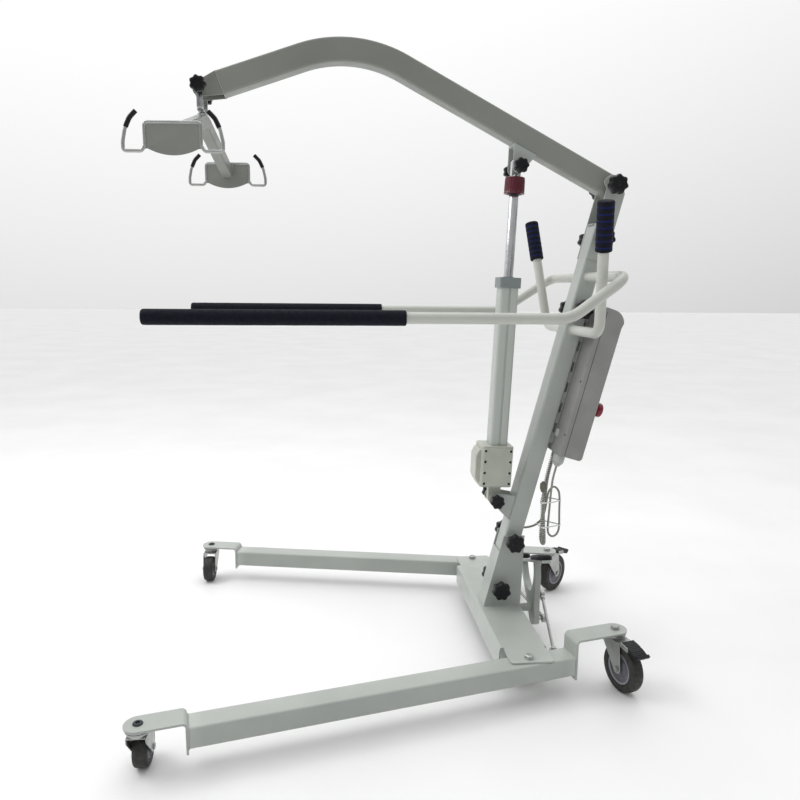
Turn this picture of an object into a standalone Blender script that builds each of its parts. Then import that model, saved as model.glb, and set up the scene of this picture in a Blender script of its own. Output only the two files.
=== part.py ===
"""Patient lift hoist: a wheeled floor lifter with an electric lifting arm and two walking-support arms.

Frame: metres, +Z up, +X toward the push handles, -Y the hoist's left side. The origin is on the floor,
under the middle of the whole hoist. Shapes are built in the frame of the leg pivots, the mast or the
actuator, and an empty carries each of those frames.
"""

import math

import bmesh
import bpy
from mathutils import Matrix, Vector

# ---------------------------------------------------------------- driving dimensions (metres, degrees)
PIVOT_X = 0.3014            # line of the two leg pivots, from the origin
GAP = 0.0003                # clearance between pieces that touch

# base
PIVOT_Y = 0.331             # each leg pivot from the centre line
LEG_SPLAY = 12.0            # legs at rest, fully open
LEG_WIDTH, LEG_DEPTH = 0.060, 0.050
LEG_TOP = 0.105
LEG_FRONT, LEG_REAR = -0.824, 0.118
WALL = 0.0025
SHEET = 0.004               # folded sheet steel of the cross member and lugs
BRACKET_SHEET = 0.005
BRACKET_TIP = 0.030
CROSS_HALF_X, CROSS_HALF_Y = 0.064, 0.280
TONGUE_END_Y = 0.352
FLANGE_FOOT_Z = 0.050
CROSS_TOP = LEG_TOP + GAP + SHEET

# casters: wheel radius, wheel width, trail, height of the mounting face, distance along the leg
FRONT_CASTER = dict(radius=0.042, width=0.032, trail=0.034, height=0.113, along=-0.924, race=0.027)
REAR_CASTER = dict(radius=0.0625, width=0.032, trail=0.040, height=0.145, along=0.2515, race=0.028)
CASTER_HEADING = {"left_front": 90.0, "right_front": -95.0, "left_rear": -75.0, "right_rear": 40.0}

# pedal that opens and closes the legs
PEDAL_PIVOT = (0.115, 0.0, 0.085)
PEDAL_TILT = -20.0
PEDAL_BAR_Z = 0.132         # underside of the foot bar above the pivot
TIE_PIN_R = 0.035           # tie rod pins above and below the pedal pivot
TIE_PIN_X = 0.028           # plane of the tie rods behind the pedal's plate

# mast
MAST_FOOT = (-0.003, 0.0, 0.168)
MAST_LEAN = 14.25
MAST_X, MAST_Y = 0.050, 0.064
MAST_BOTTOM, MAST_TOP = -0.052, 1.066
SOCKET_TOP, SOCKET_FRONT_TOP = 0.322, 0.275
SOCKET_SHEET = 0.0035
MAST_BOLTS = {"base_lower": 0.0, "base_upper": 0.146, "clamp": 0.829, "yoke": 1.028}  # up the mast's axis

# boom
BOOM_PIVOT = (0.277, 0.0, 1.305)
BOOM_CORNER = (-0.4225, 0.0, 1.6522)
BOOM_FRONT = (-0.7609, 0.0, 1.5308)
BOOM_DEPTH, BOOM_WIDTH = 0.060, 0.050
BOOM_SLOPE = (BOOM_CORNER[2] - BOOM_PIVOT[2]) / (BOOM_PIVOT[0] - BOOM_CORNER[0])
BOOM_BEND = 0.335
TIP_PIN = (-0.808, 0.0, 1.5145)

# actuator
LOWER_PIN = (-0.020, 0.0, 0.430)
UPPER_PIN = (0.014, 0.0, 1.348)
ROD_R = 0.013

# spreader
SPREADER_TURN = -6.1
SPREADER_HALF = 0.258
APEX_DROP = 0.0585          # top of the beam under the tip pin

# walking frame and push handles
TUBE_R = 0.0135
ARM_Y, ARM_Z = 0.315, 0.958
ARM_FRONT, ARM_GRIP_REAR = -0.902, -0.320
ARM_GRIP_R = 0.018
CROSS_TUBE = (0.222, 1.060)
HANDLE_Z = 0.915

# control box, in the mast's frame
BOX_FRONT, BOX_REAR = 0.037, 0.104
BOX_BOTTOM, BOX_TOP = 0.427, 0.851
BOX_HALF_Y = 0.100

GLAND = (0.054, -0.058)      # behind the mast's axis and across, as is the next line
CORD_INLET = (0.052, -0.016)
CABLE_INLET_Z = 0.340       # where the motor's cable goes into the back of the mast
CABLE_R = 0.003
COIL_R = 0.006


# ---------------------------------------------------------------- scene and materials
def clear_scene():
    """Starts from an empty scene."""
    for obj in list(bpy.data.objects):
        bpy.data.objects.remove(obj, do_unlink=True)


def material(name, colour, roughness, metallic=0.0):
    """One plain finish."""
    made = bpy.data.materials.new(name)
    made.use_nodes = True
    shader = made.node_tree.nodes["Principled BSDF"]
    shader.inputs["Base Color"].default_value = (*colour, 1.0)
    shader.inputs["Roughness"].default_value = roughness
    shader.inputs["Metallic"].default_value = metallic
    return made


def make_materials():
    """All the finishes, by name."""
    return {
        "frame_paint": material("frame_paint", (0.47, 0.51, 0.49), 0.42),
        "boom_paint": material("boom_paint", (0.44, 0.47, 0.45), 0.42),
        "zinc": material("zinc", (0.62, 0.63, 0.64), 0.32, 1.0),
        "chrome": material("chrome", (0.80, 0.81, 0.83), 0.12, 1.0),
        "black_plastic": material("black_plastic", (0.015, 0.015, 0.018), 0.45),
        "tyre_rubber": material("tyre_rubber", (0.03, 0.03, 0.03), 0.65),
        "hub_plastic": material("hub_plastic", (0.22, 0.22, 0.25), 0.45),
        "foam": material("foam", (0.012, 0.013, 0.022), 0.85),
        "cream_plastic": material("cream_plastic", (0.60, 0.62, 0.53), 0.45),
        "grey_plastic": material("grey_plastic", (0.30, 0.33, 0.34), 0.45),
        "box_plastic": material("box_plastic", (0.50, 0.52, 0.51), 0.50),
        "maroon_plastic": material("maroon_plastic", (0.13, 0.008, 0.02), 0.40),
        "red_plastic": material("red_plastic", (0.25, 0.006, 0.02), 0.35),
        "cable_grey": material("cable_grey", (0.33, 0.33, 0.30), 0.50),
    }


def empty(name, location, parent=None, rotation=(0.0, 0.0, 0.0)):
    """A frame: its origin is on a joint's axis, or on the mast's or the actuator's line."""
    made = bpy.data.objects.new(name, None)
    made.location = location
    made.rotation_euler = [math.radians(angle) for angle in rotation]
    made.parent = parent
    bpy.context.scene.collection.objects.link(made)
    return made


# ---------------------------------------------------------------- shapes, as (points, faces)
def arc(centre, radius, start, end, steps):
    """Points on a circle in a plane, from one angle to another, in degrees."""
    angles = [math.radians(start + (end - start) * i / steps) for i in range(steps + 1)]
    return [(centre[0] + radius * math.cos(a), centre[1] + radius * math.sin(a)) for a in angles]


def circle(radius, steps):
    """Points round a circle about the origin."""
    return arc((0.0, 0.0), radius, 0.0, 360.0, steps)[:-1]


def hexagon(flats, turn=0.0):
    """A hexagon in twelve points, so that it can be skinned to a circle of twelve."""
    points = []
    for i in range(12):
        radius = flats / 2 if i % 2 else flats / 2 / math.cos(math.pi / 6)
        angle = math.radians(30 * i + turn)
        points.append((radius * math.cos(angle), radius * math.sin(angle)))
    return points


def star(radius, lobes=7, depth=0.16, per_lobe=2):
    """The lobed outline of a hand knob."""
    points = []
    for i in range(lobes * per_lobe):
        angle = 2 * math.pi * i / (lobes * per_lobe)
        wave = 0.5 + 0.5 * math.cos(lobes * angle)
        r = radius * (1 - depth * (1 - wave))
        points.append((r * math.cos(angle), r * math.sin(angle)))
    return points


def rounded_rectangle(width, height, radius, steps=2):
    """A rectangle about the origin with its corners rounded."""
    points = []
    for sx, sy, start in ((1, 1, 0), (-1, 1, 90), (-1, -1, 180), (1, -1, 270)):
        centre = (sx * (width / 2 - radius), sy * (height / 2 - radius))
        points += arc(centre, radius, start, start + 90, steps)
    return points


def prism(outline, depth, plane="XZ", centre=0.0):
    """An outline in the XY, XZ or YZ plane, given a thickness along the third axis."""
    place = {
        "XZ": lambda a, b, t: (a, t, b),
        "YZ": lambda a, b, t: (t, a, b),
        "XY": lambda a, b, t: (a, b, t),
    }[plane]
    count = len(outline)
    points = [place(a, b, centre - depth / 2) for a, b in outline]
    points += [place(a, b, centre + depth / 2) for a, b in outline]
    faces = [(i, (i + 1) % count, count + (i + 1) % count, count + i) for i in range(count)]
    faces += [tuple(range(count)), tuple(range(count, 2 * count))]
    return points, faces


def block(low, high):
    """A box between two opposite corners."""
    outline = [(low[0], low[2]), (high[0], low[2]), (high[0], high[2]), (low[0], high[2])]
    return prism(outline, high[1] - low[1], "XZ", (low[1] + high[1]) / 2)


def stacked(rings, axis="Z"):
    """Skins outlines of equal point count, each at its own height on an axis, and caps both ends."""
    place = {
        "X": lambda a, b, h: (h, a, b),
        "Y": lambda a, b, h: (a, h, b),
        "Z": lambda a, b, h: (a, b, h),
    }[axis]
    count = len(rings[0][1])
    points = [place(a, b, height) for height, outline in rings for a, b in outline]
    faces = []
    for ring in range(len(rings) - 1):
        base = ring * count
        for i in range(count):
            j = (i + 1) % count
            faces.append((base + i, base + j, base + count + j, base + count + i))
    faces += [tuple(range(count)), tuple(range(len(points) - count, len(points)))]
    return points, faces


def turned(profile, steps, axis="Z"):
    """Stacks circles: profile is a list of (radius, height)."""
    return stacked([(height, circle(radius, steps)) for radius, height in profile], axis)


def ring_turned(profile, steps, axis="Z"):
    """Turns a closed profile of (radius, height) about an axis that it doesn't touch."""
    place = {
        "X": lambda a, b, h: (h, a, b),
        "Y": lambda a, b, h: (a, h, b),
        "Z": lambda a, b, h: (a, b, h),
    }[axis]
    count = len(profile)
    points = []
    for i in range(steps):
        angle = 2 * math.pi * i / steps
        points += [place(r * math.cos(angle), r * math.sin(angle), h) for r, h in profile]
    faces = []
    for i in range(steps):
        a, b = i * count, (i + 1) % steps * count
        faces += [(a + k, a + (k + 1) % count, b + (k + 1) % count, b + k) for k in range(count)]
    return points, faces


def moved(shape, offset=(0.0, 0.0, 0.0), turn=None):
    """The shape turned by a matrix, then shifted."""
    matrix = Matrix.Translation(offset) @ (turn or Matrix.Identity(4))
    return [tuple(matrix @ Vector(p)) for p in shape[0]], shape[1]


def bent(corners, radii, steps=5):
    """A route through corner points, each corner rounded by an arc of its own radius."""
    corners = [Vector(c) for c in corners]
    route = [corners[0]]
    for before, corner, after, radius in zip(corners, corners[1:], corners[2:], radii):
        to_back, to_front = (before - corner).normalized(), (after - corner).normalized()
        half = to_back.angle(to_front) / 2
        centre = corner + (to_back + to_front).normalized() * radius / math.sin(half)
        start = corner + to_back * radius / math.tan(half) - centre
        end = corner + to_front * radius / math.tan(half) - centre
        sweep = start.angle(end)
        for i in range(steps + 1):
            t = i / steps
            mix = (start * math.sin((1 - t) * sweep) + end * math.sin(t * sweep)) / math.sin(sweep)
            route.append(centre + mix)
    return route + [corners[-1]]


def swept(route, outer, inner=None, side=(0.0, 1.0, 0.0)):
    """Carries a section along a route; with an inner outline it is a tube open at both ends."""
    route = [Vector(p) for p in route]
    across = Vector(side)
    loops = []
    for i, point in enumerate(route):
        ahead = route[min(i + 1, len(route) - 1)] - point
        behind = point - route[max(i - 1, 0)]
        along = (ahead.normalized() + behind.normalized()).normalized()
        stretch = 1.0
        if ahead.length > 0 and behind.length > 0:
            stretch = 1 / max(0.5, math.cos(ahead.angle(behind) / 2))
            bend_out = (ahead.normalized() - behind.normalized())
        across = (across - along * across.dot(along)).normalized()
        up = along.cross(across)
        for outline in (outer, inner) if inner else (outer,):
            ring = []
            for a, b in outline:
                offset = across * a + up * b
                if stretch > 1.0001:
                    out = bend_out.normalized()
                    offset += out * offset.dot(out) * (stretch - 1)
                ring.append(tuple(point + offset))
            loops.append(ring)
    count = len(outer)
    points = [p for ring in loops for p in ring]
    per = 2 if inner else 1
    last = (len(route) - 1) * per
    faces = []
    for i in range(len(route) - 1):
        for layer in range(per):
            a, b = (i * per + layer) * count, ((i + 1) * per + layer) * count
            for k in range(count):
                j = (k + 1) % count
                faces.append((a + k, a + j, b + j, b + k))
    for end in (0, last):
        a = end * count
        if inner:
            b = a + count
            faces += [(a + k, a + (k + 1) % count, b + (k + 1) % count, b + k) for k in range(count)]
        else:
            faces.append(tuple(range(a, a + count)))
    return points, faces


def strip(route, normals, half_widths, thickness):
    """A bent plate: stations in the XZ plane, each with its own half width across Y."""
    rings = []
    for (x, z), (nx, nz), half in zip(route, normals, half_widths):
        for across, out in ((-half, -0.5), (half, -0.5), (half, 0.5), (-half, 0.5)):
            rings.append((x + nx * out * thickness, across, z + nz * out * thickness))
    faces = []
    for i in range(len(route) - 1):
        for k in range(4):
            j = (k + 1) % 4
            faces.append((4 * i + k, 4 * i + j, 4 * i + 4 + j, 4 * i + 4 + k))
    end = 4 * (len(route) - 1)
    faces += [(0, 1, 2, 3), (end, end + 1, end + 2, end + 3)]
    return rings, faces


# ---------------------------------------------------------------- objects
def mesh_of(name, shape):
    """A mesh of a shape, with its faces turned outwards."""
    mesh = bpy.data.meshes.new(name)
    built = bmesh.new()
    points = [built.verts.new(p) for p in shape[0]]
    for face in shape[1]:
        built.faces.new([points[i] for i in face])
    bmesh.ops.recalc_face_normals(built, faces=built.faces)
    built.to_mesh(mesh)
    built.free()
    return mesh


def make(name, shape, finish, parent, adds=(), cuts=(), sharp=35.0):
    """One named solid: a shape, the shapes joined to it and the shapes cut out of it."""
    obj = bpy.data.objects.new(name, mesh_of(name, shape))
    bpy.context.scene.collection.objects.link(obj)
    obj.parent = parent
    obj.data.materials.append(MATERIALS[finish])
    for operation, tools in (("UNION", adds), ("DIFFERENCE", cuts)):
        for number, tool_shape in enumerate(tools):
            tool_name = f"{name}_{operation.lower()}_{number}"
            tool = bpy.data.objects.new(tool_name, mesh_of(tool_name, tool_shape))
            bpy.context.scene.collection.objects.link(tool)
            tool.parent = parent
            tool.hide_render = True
            tool.display_type = "WIRE"
            step = obj.modifiers.new(tool_name, "BOOLEAN")
            step.operation = operation
            step.solver = "EXACT"
            step.object = tool
    obj.data.shade_smooth()
    obj.data.set_sharp_from_angle(angle=math.radians(sharp))
    return obj


def cylinder(radius, low, high, axis, at=(0.0, 0.0, 0.0), steps=12):
    """A round bar or hole along an axis."""
    return moved(turned([(radius, low), (radius, high)], steps, axis), at)


def knob_pair(name, parent, at, knob_radius, seat, height, bolt_r=0.005):
    """Two hand knobs on one through bolt along Y; seat is where each knob's shank bears."""
    outline = star(knob_radius)
    count = len(outline)
    face = star(knob_radius * 0.86)
    half = [
        (bolt_r, seat),
        (knob_radius * 0.42, seat),
        (knob_radius * 0.42, seat + height * 0.35),
    ]
    lobed = [
        (seat + height * 0.40, face),
        (seat + height * 0.52, outline),
        (seat + height * 0.88, outline),
        (seat + height, face),
    ]
    rings = [(-h, o) for h, o in reversed(lobed)]
    rings += [(-h, circle(r, count)) for r, h in reversed(half)]
    rings += [(h, circle(r, count)) for r, h in half]
    rings += lobed
    return make(name, moved(stacked(rings, "Y"), at), "black_plastic", parent)


def knob(name, parent, at, knob_radius, seat, height, sign, stud_end, bolt_r=0.005):
    """One hand knob on a short stud; sign is -1 when it is on the left."""
    outline = star(knob_radius)
    count = len(outline)
    face = star(knob_radius * 0.86)
    rings = [
        (stud_end, circle(bolt_r, count)),
        (seat, circle(bolt_r, count)),
        (seat, circle(knob_radius * 0.42, count)),
        (seat + height * 0.35, circle(knob_radius * 0.42, count)),
        (seat + height * 0.40, face),
        (seat + height * 0.52, outline),
        (seat + height * 0.88, outline),
        (seat + height, face),
    ]
    shape = stacked([(sign * height, ring) for height, ring in rings], "Y")
    return make(name, moved(shape, at), "black_plastic", parent)


# ---------------------------------------------------------------- base
def bracket_shape(tube_end, foot_z, top_z, hole_at):
    """An L-shaped plate on the end of a leg: an upright, a bend and a flange with a round tip."""
    sign = 1.0 if hole_at > tube_end else -1.0
    half_sheet = BRACKET_SHEET / 2
    upright = tube_end + sign * (GAP + half_sheet)
    flange = top_z - half_sheet
    bend = 0.010
    route = [(upright, foot_z)]
    normals = [(sign, 0.0)]
    for step in range(5):
        angle = math.radians(90 * step / 4)
        route.append((upright + sign * bend * (1 - math.cos(angle)), flange - bend * (1 - math.sin(angle))))
        normals.append((sign * math.cos(angle), -math.sin(angle)))
    halves = [LEG_WIDTH / 2] * len(route)
    for step in range(7):
        angle = math.radians(80 * step / 6)
        route.append((hole_at + sign * BRACKET_TIP * math.sin(angle), flange))
        normals.append((0.0, -1.0))
        halves.append(BRACKET_TIP * math.cos(angle))
    return strip(route, normals, halves, BRACKET_SHEET)


def make_leg(side, sign):
    """One leg with its two caster brackets; sign is -1 on the left. Its frame is on the pivot."""
    frame = empty(
        f"{side}_leg_axis", (PIVOT_X, sign * PIVOT_Y, 0.0), rotation=(0.0, 0.0, -sign * LEG_SPLAY)
    )
    middle_z = LEG_TOP - LEG_DEPTH / 2
    outer = rounded_rectangle(LEG_WIDTH, LEG_DEPTH, 0.006)
    inner = rounded_rectangle(LEG_WIDTH - 2 * WALL, LEG_DEPTH - 2 * WALL, 0.0035)
    tube = swept([(LEG_FRONT, 0.0, middle_z), (LEG_REAR, 0.0, middle_z)], outer, inner)
    inward = -sign
    lug_y = sorted((inward * (LEG_WIDTH / 2 - 0.001), inward * 0.056))
    lug = block((0.085, lug_y[0], 0.078), (0.110, lug_y[1], 0.082))
    stud = cylinder(0.004, 0.080, 0.100, "Z", (0.0975, inward * 0.045, 0.0))
    bore = cylinder(0.0066, 0.03, 0.13, "Z")
    make(f"{side}_leg", tube, "frame_paint", frame, adds=[lug, stud], cuts=[bore])
    for end, caster, tube_end, foot, rise in (
        ("front", FRONT_CASTER, LEG_FRONT, 0.044, 0.013),
        ("rear", REAR_CASTER, LEG_REAR, 0.044, 0.045),
    ):
        shape = bracket_shape(tube_end, foot, LEG_TOP + rise, caster["along"])
        hole = cylinder(0.0062, 0.05, 0.2, "Z", (caster["along"], 0.0, 0.0))
        make(f"{side}_{end}_bracket", shape, "frame_paint", frame, cuts=[hole])
        make_caster(f"{side}_{end}", frame, caster, LEG_TOP + rise)
    return frame


def make_caster(name, leg_frame, caster, bracket_top):
    """A swivel fork, its wheel and, at the rear, its brake pedal."""
    leg_turn = math.degrees(leg_frame.rotation_euler.z)
    swivel = empty(
        f"{name}_swivel_axis",
        (caster["along"], 0.0, caster["height"]),
        leg_frame,
        (0.0, 0.0, CASTER_HEADING[name] - leg_turn),
    )
    radius, width, trail = caster["radius"], caster["width"], caster["trail"]
    rear = "rear" in name
    axle_z = radius - caster["height"]
    crown = -0.0130 if rear else -0.0150
    crown_sheet = 0.0025
    inside = width / 2 + 0.003
    outside = inside + 0.0025
    side_outline = [(-0.022, crown), (-0.022, crown - 0.014)]
    side_outline += arc((trail, axle_z), 0.013, 200, 350, 6)
    side_outline += [(trail + 0.004, crown - 0.010), (trail + 0.004, crown)]
    fork = prism(side_outline, 2 * outside)
    channel = block((-0.1, -inside, axle_z - 0.1), (0.2, inside, crown - crown_sheet))
    race = caster["race"]
    head_top = bracket_top - caster["height"]
    stem_head = [
        (0.0052, head_top + GAP + 0.0001),
        (0.0105, head_top + GAP + 0.0001),
        (0.0105, head_top + (0.007 if rear else 0.0025)),
        (0.0070, head_top + (0.010 if rear else 0.0035)),
    ]
    stem = [(race - 0.003, crown - 0.001), (race - 0.003, -0.009), (race, -0.008), (race, -0.0004)]
    stem += [(0.0052, -0.0004)] + stem_head
    axle = [(0.0065, -outside - 0.004), (0.0065, -outside + 0.0005), (0.004, -outside + 0.0005)]
    axle += [(r, -h) for r, h in reversed(axle)]
    make(
        f"{name}_fork",
        fork,
        "zinc",
        swivel,
        adds=[turned(stem, 16), moved(turned(axle, 10, "Y"), (trail, 0.0, axle_z))],
        cuts=[],
    )
    fork_obj = bpy.data.objects[f"{name}_fork"]
    cut_channel(fork_obj, channel, axle, (trail, 0.0, axle_z), swivel)
    axle_frame = empty(f"{name}_axle", (trail, 0.0, axle_z), swivel)
    hub_r, bore = radius * 0.62, 0.0044
    half, hub_half = width / 2, width / 2 + 0.002
    profile = [
        (bore, -hub_half), (0.010, -hub_half), (0.011, -half + 0.006), (hub_r - 0.003, -half + 0.006),
        (hub_r, -half), (radius - 0.004, -half), (radius, -half + 0.008), (radius, half - 0.008),
        (radius - 0.004, half), (hub_r, half), (hub_r - 0.003, half - 0.006), (0.011, half - 0.006),
        (0.010, hub_half), (bore, hub_half),
    ]
    make(f"{name}_wheel", ring_turned(profile, 20, "Y"), "tyre_rubber", axle_frame)
    if rear:
        make_brake(name, swivel)


def cut_channel(fork, channel, axle, at, parent):
    """Opens the fork for its wheel, then puts the axle's middle back."""
    reach = max(height for radius, height in axle) - 0.002
    middle = cylinder(0.004, -reach, reach, "Y", at, 10)
    for operation, shape in (("DIFFERENCE", channel), ("UNION", middle)):
        name = f"{fork.name}_{operation.lower()}_channel"
        tool = bpy.data.objects.new(name, mesh_of(name, shape))
        bpy.context.scene.collection.objects.link(tool)
        tool.parent = parent
        tool.hide_render = True
        tool.display_type = "WIRE"
        step = fork.modifiers.new(name, "BOOLEAN")
        step.operation = operation
        step.solver = "EXACT"
        step.object = tool


def make_brake(name, swivel):
    """The total-lock pedal over a rear wheel, hinged at the back of the fork."""
    hinge = empty(f"{name}_brake_axis", (0.047, 0.0, -0.0125), swivel)
    outline = [
        (0.000, -0.0045), (0.015, -0.0060), (0.037, -0.0110), (0.056, -0.0180), (0.063, -0.0130),
        (0.067, -0.0070), (0.061, -0.0030), (0.054, -0.0070), (0.038, 0.0005), (0.015, 0.0045),
        (0.000, 0.0045),
    ]
    make(f"{name}_brake_pedal", prism(outline, 0.040), "black_plastic", hinge)


def make_pivot_bolt(side, sign, parent):
    """The bolt on which a leg swings: a hexagon head on the cross member, a nut under the leg."""
    low = LEG_TOP - LEG_DEPTH
    shank = circle(0.006, 12)
    rings = [
        (low - 0.010, hexagon(0.019)),
        (low - 0.0005, hexagon(0.019)),
        (low - 0.0005, shank),
        (CROSS_TOP + GAP, shank),
        (CROSS_TOP + GAP, hexagon(0.019)),
        (CROSS_TOP + 0.0075, hexagon(0.019)),
        (CROSS_TOP + 0.0100, circle(0.0065, 12)),
    ]
    make(f"{side}_pivot_bolt", moved(stacked(rings), (0.0, sign * PIVOT_Y, 0.0)), "zinc", parent)


def make_cross_member(parent):
    """A sheet folded into an upturned channel; its top runs on as a tongue over each leg."""
    edge, top, foot = CROSS_HALF_X, CROSS_TOP, FLANGE_FOOT_Z
    outer_r, inner_r = 0.009, 0.005
    outline = [(-edge, foot)]
    outline += arc((-edge + outer_r, top - outer_r), outer_r, 180, 90, 4)
    outline += arc((edge - outer_r, top - outer_r), outer_r, 90, 0, 4)
    outline += [(edge, foot), (edge - SHEET, foot)]
    outline += arc((edge - outer_r, top - outer_r), inner_r, 0, 90, 3)
    outline += arc((-edge + outer_r, top - outer_r), inner_r, 90, 180, 3)
    outline += [(-edge + SHEET, foot)]
    channel = prism(outline, 2 * CROSS_HALF_Y)
    front, rear, end, r = -0.052, 0.060, TONGUE_END_Y, 0.010
    tongue = arc((rear - r, end - r), r, 0, 90, 3) + arc((front + r, end - r), r, 90, 180, 3)
    tongue += arc((front + r, -end + r), r, 180, 270, 3) + arc((rear - r, -end + r), r, 270, 360, 3)
    plate = prism(tongue, SHEET, "XY", top - SHEET / 2)
    cuts = [cylinder(0.0066, 0.08, 0.13, "Z", (0.0, s * PIVOT_Y, 0.0)) for s in (-1, 1)]
    cuts.append(cylinder(0.0066, edge - 0.010, edge + 0.010, "X", (0.0, 0.0, PEDAL_PIVOT[2])))
    make("cross_member", channel, "frame_paint", parent, adds=[plate], cuts=cuts)


def mast_point(behind, along):
    """X and Z, from the leg pivots, of a point behind the mast's axis and along it."""
    lean = math.radians(MAST_LEAN)
    x = MAST_FOOT[0] + along * math.sin(lean) + behind * math.cos(lean)
    z = MAST_FOOT[2] + along * math.cos(lean) - behind * math.sin(lean)
    return x, z


def on_line(behind, z):
    """X of the line that runs behind the mast's axis, at a height."""
    lean = math.radians(MAST_LEAN)
    x, z0 = mast_point(behind, 0.0)
    return x + (z - z0) * math.tan(lean)


def make_socket(parent):
    """The folded socket that holds the mast's foot: a front plate and two side plates."""
    bottom = CROSS_TOP + GAP
    inside = MAST_X / 2 + 0.0005
    outside = inside + SOCKET_SHEET
    outline = [
        (on_line(-outside, bottom), bottom), (0.062, bottom), (0.068, SOCKET_TOP),
        (on_line(-outside, SOCKET_TOP), SOCKET_TOP),
    ]
    half = MAST_Y / 2 + 0.0005
    well_low, well_high = bottom - 0.05, SOCKET_TOP + 0.05
    well = prism(
        [
            (on_line(-inside, well_low), well_low), (on_line(0.2, well_low), well_low),
            (on_line(0.2, well_high), well_high), (on_line(-inside, well_high), well_high),
        ],
        2 * half,
    )
    window = block((-0.1, -half, SOCKET_FRONT_TOP), (0.06, half, SOCKET_TOP + 0.02))
    cuts = [well, window]
    for along in (0.0, 0.146):
        x, z = mast_point(0.0, along)
        cuts.append(cylinder(0.0056, -0.06, 0.06, "Y", (x, 0.0, z)))
    make("mast_socket", prism(outline, 2 * (half + SOCKET_SHEET)), "frame_paint", parent, cuts=cuts)


def make_pedal(base):
    """The rocking foot pedal behind the cross member, and the pads on its bar."""
    frame = empty(
        "pedal_axis", [a + b for a, b in zip(base.location, PEDAL_PIVOT)], rotation=(PEDAL_TILT, 0, 0)
    )
    bar = PEDAL_BAR_Z
    right = [(0.000, -0.052), (0.020, -0.046), (0.030, -0.020), (0.036, 0.010), (0.052, 0.050)]
    right += [(0.068, 0.090), (0.072, bar + 0.004), (0.056, bar + 0.004), (0.050, 0.095)]
    right += [(0.034, 0.068), (0.014, 0.050)]
    left = [(-y, z) for y, z in reversed(right[1:])]
    plate = prism(right + [(0.0, 0.046)] + left, 0.018, "YZ")
    foot_bar = block((-0.013, -0.160, bar), (0.013, 0.160, bar + 0.008))
    hub_front = CROSS_HALF_X + GAP - PEDAL_PIVOT[0]
    hub = [(0.0058, hub_front - 0.009), (0.0058, hub_front), (0.012, hub_front), (0.012, 0.0)]
    pins = [cylinder(0.004, 0.0, TIE_PIN_X + 0.008, "X", (0.0, 0.0, s * TIE_PIN_R), 10) for s in (1, -1)]
    make("pedal_rocker", plate, "frame_paint", frame, adds=[foot_bar, turned(hub, 12, "X")] + pins)
    for side, sign in (("left", -1), ("right", 1)):
        outline = [(sign * y, x) for y, x in rounded_rectangle(0.104, 0.042, 0.018, 4)]
        low = bar + 0.008 + GAP
        outline_pad = [(a + sign * 0.106, b) for a, b in outline]
        rings = [(low, outline_pad), (low + 0.009, outline_pad)]
        middle = sign * 0.106
        rings.append((low + 0.013, [(0.96 * (a - middle) + middle, 0.86 * b) for a, b in outline_pad]))
        pad = stacked([(h, [(x, y) for y, x in ring]) for h, ring in rings])
        make(f"{side}_pedal_pad", pad, "black_plastic", frame)
    return frame


def make_tie_rod(side, sign):
    """A rod from the pedal's pin to the stud on a leg; its frame is on the stud."""
    turn = math.radians(-sign * LEG_SPLAY)
    stud_along, stud_in = 0.0975, -sign * 0.045
    stud_x = stud_along * math.cos(turn) - stud_in * math.sin(turn)
    stud_y = sign * PIVOT_Y + stud_along * math.sin(turn) + stud_in * math.cos(turn)
    frame = empty(f"{side}_tie_rod_axis", (PIVOT_X + stud_x, stud_y, 0.0))
    tilt = math.radians(PEDAL_TILT)
    height = -sign * TIE_PIN_R
    pin = (
        PEDAL_PIVOT[0] + TIE_PIN_X - stud_x,
        -height * math.sin(tilt) - stud_y,
        PEDAL_PIVOT[2] + height * math.cos(tilt),
    )
    stud = (0.0, 0.0, 0.0905)
    along = Vector(stud) - Vector(pin)
    direction = along.normalized()
    start, end = Vector(pin) + direction * 0.011, Vector(stud) - direction * 0.010
    rod = swept([start, end], circle(0.004, 8), side=(1.0, 0.0, 0.0))
    eye = [(0.0072, -0.005), (0.012, -0.005), (0.012, 0.005), (0.0072, 0.005)]
    leg_eye = [(0.0052, -0.004), (0.011, -0.004), (0.011, 0.004), (0.0052, 0.004)]
    nut_at = start + direction * 0.010
    nut = swept([nut_at, nut_at + direction * 0.008], hexagon(0.013), side=(1.0, 0.0, 0.0))
    adds = [
        moved(ring_turned(eye, 16, "X"), pin),
        moved(ring_turned(leg_eye, 14, "Z"), stud),
        nut,
    ]
    make(f"{side}_tie_rod", rod, "zinc", frame, adds=adds)


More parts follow.
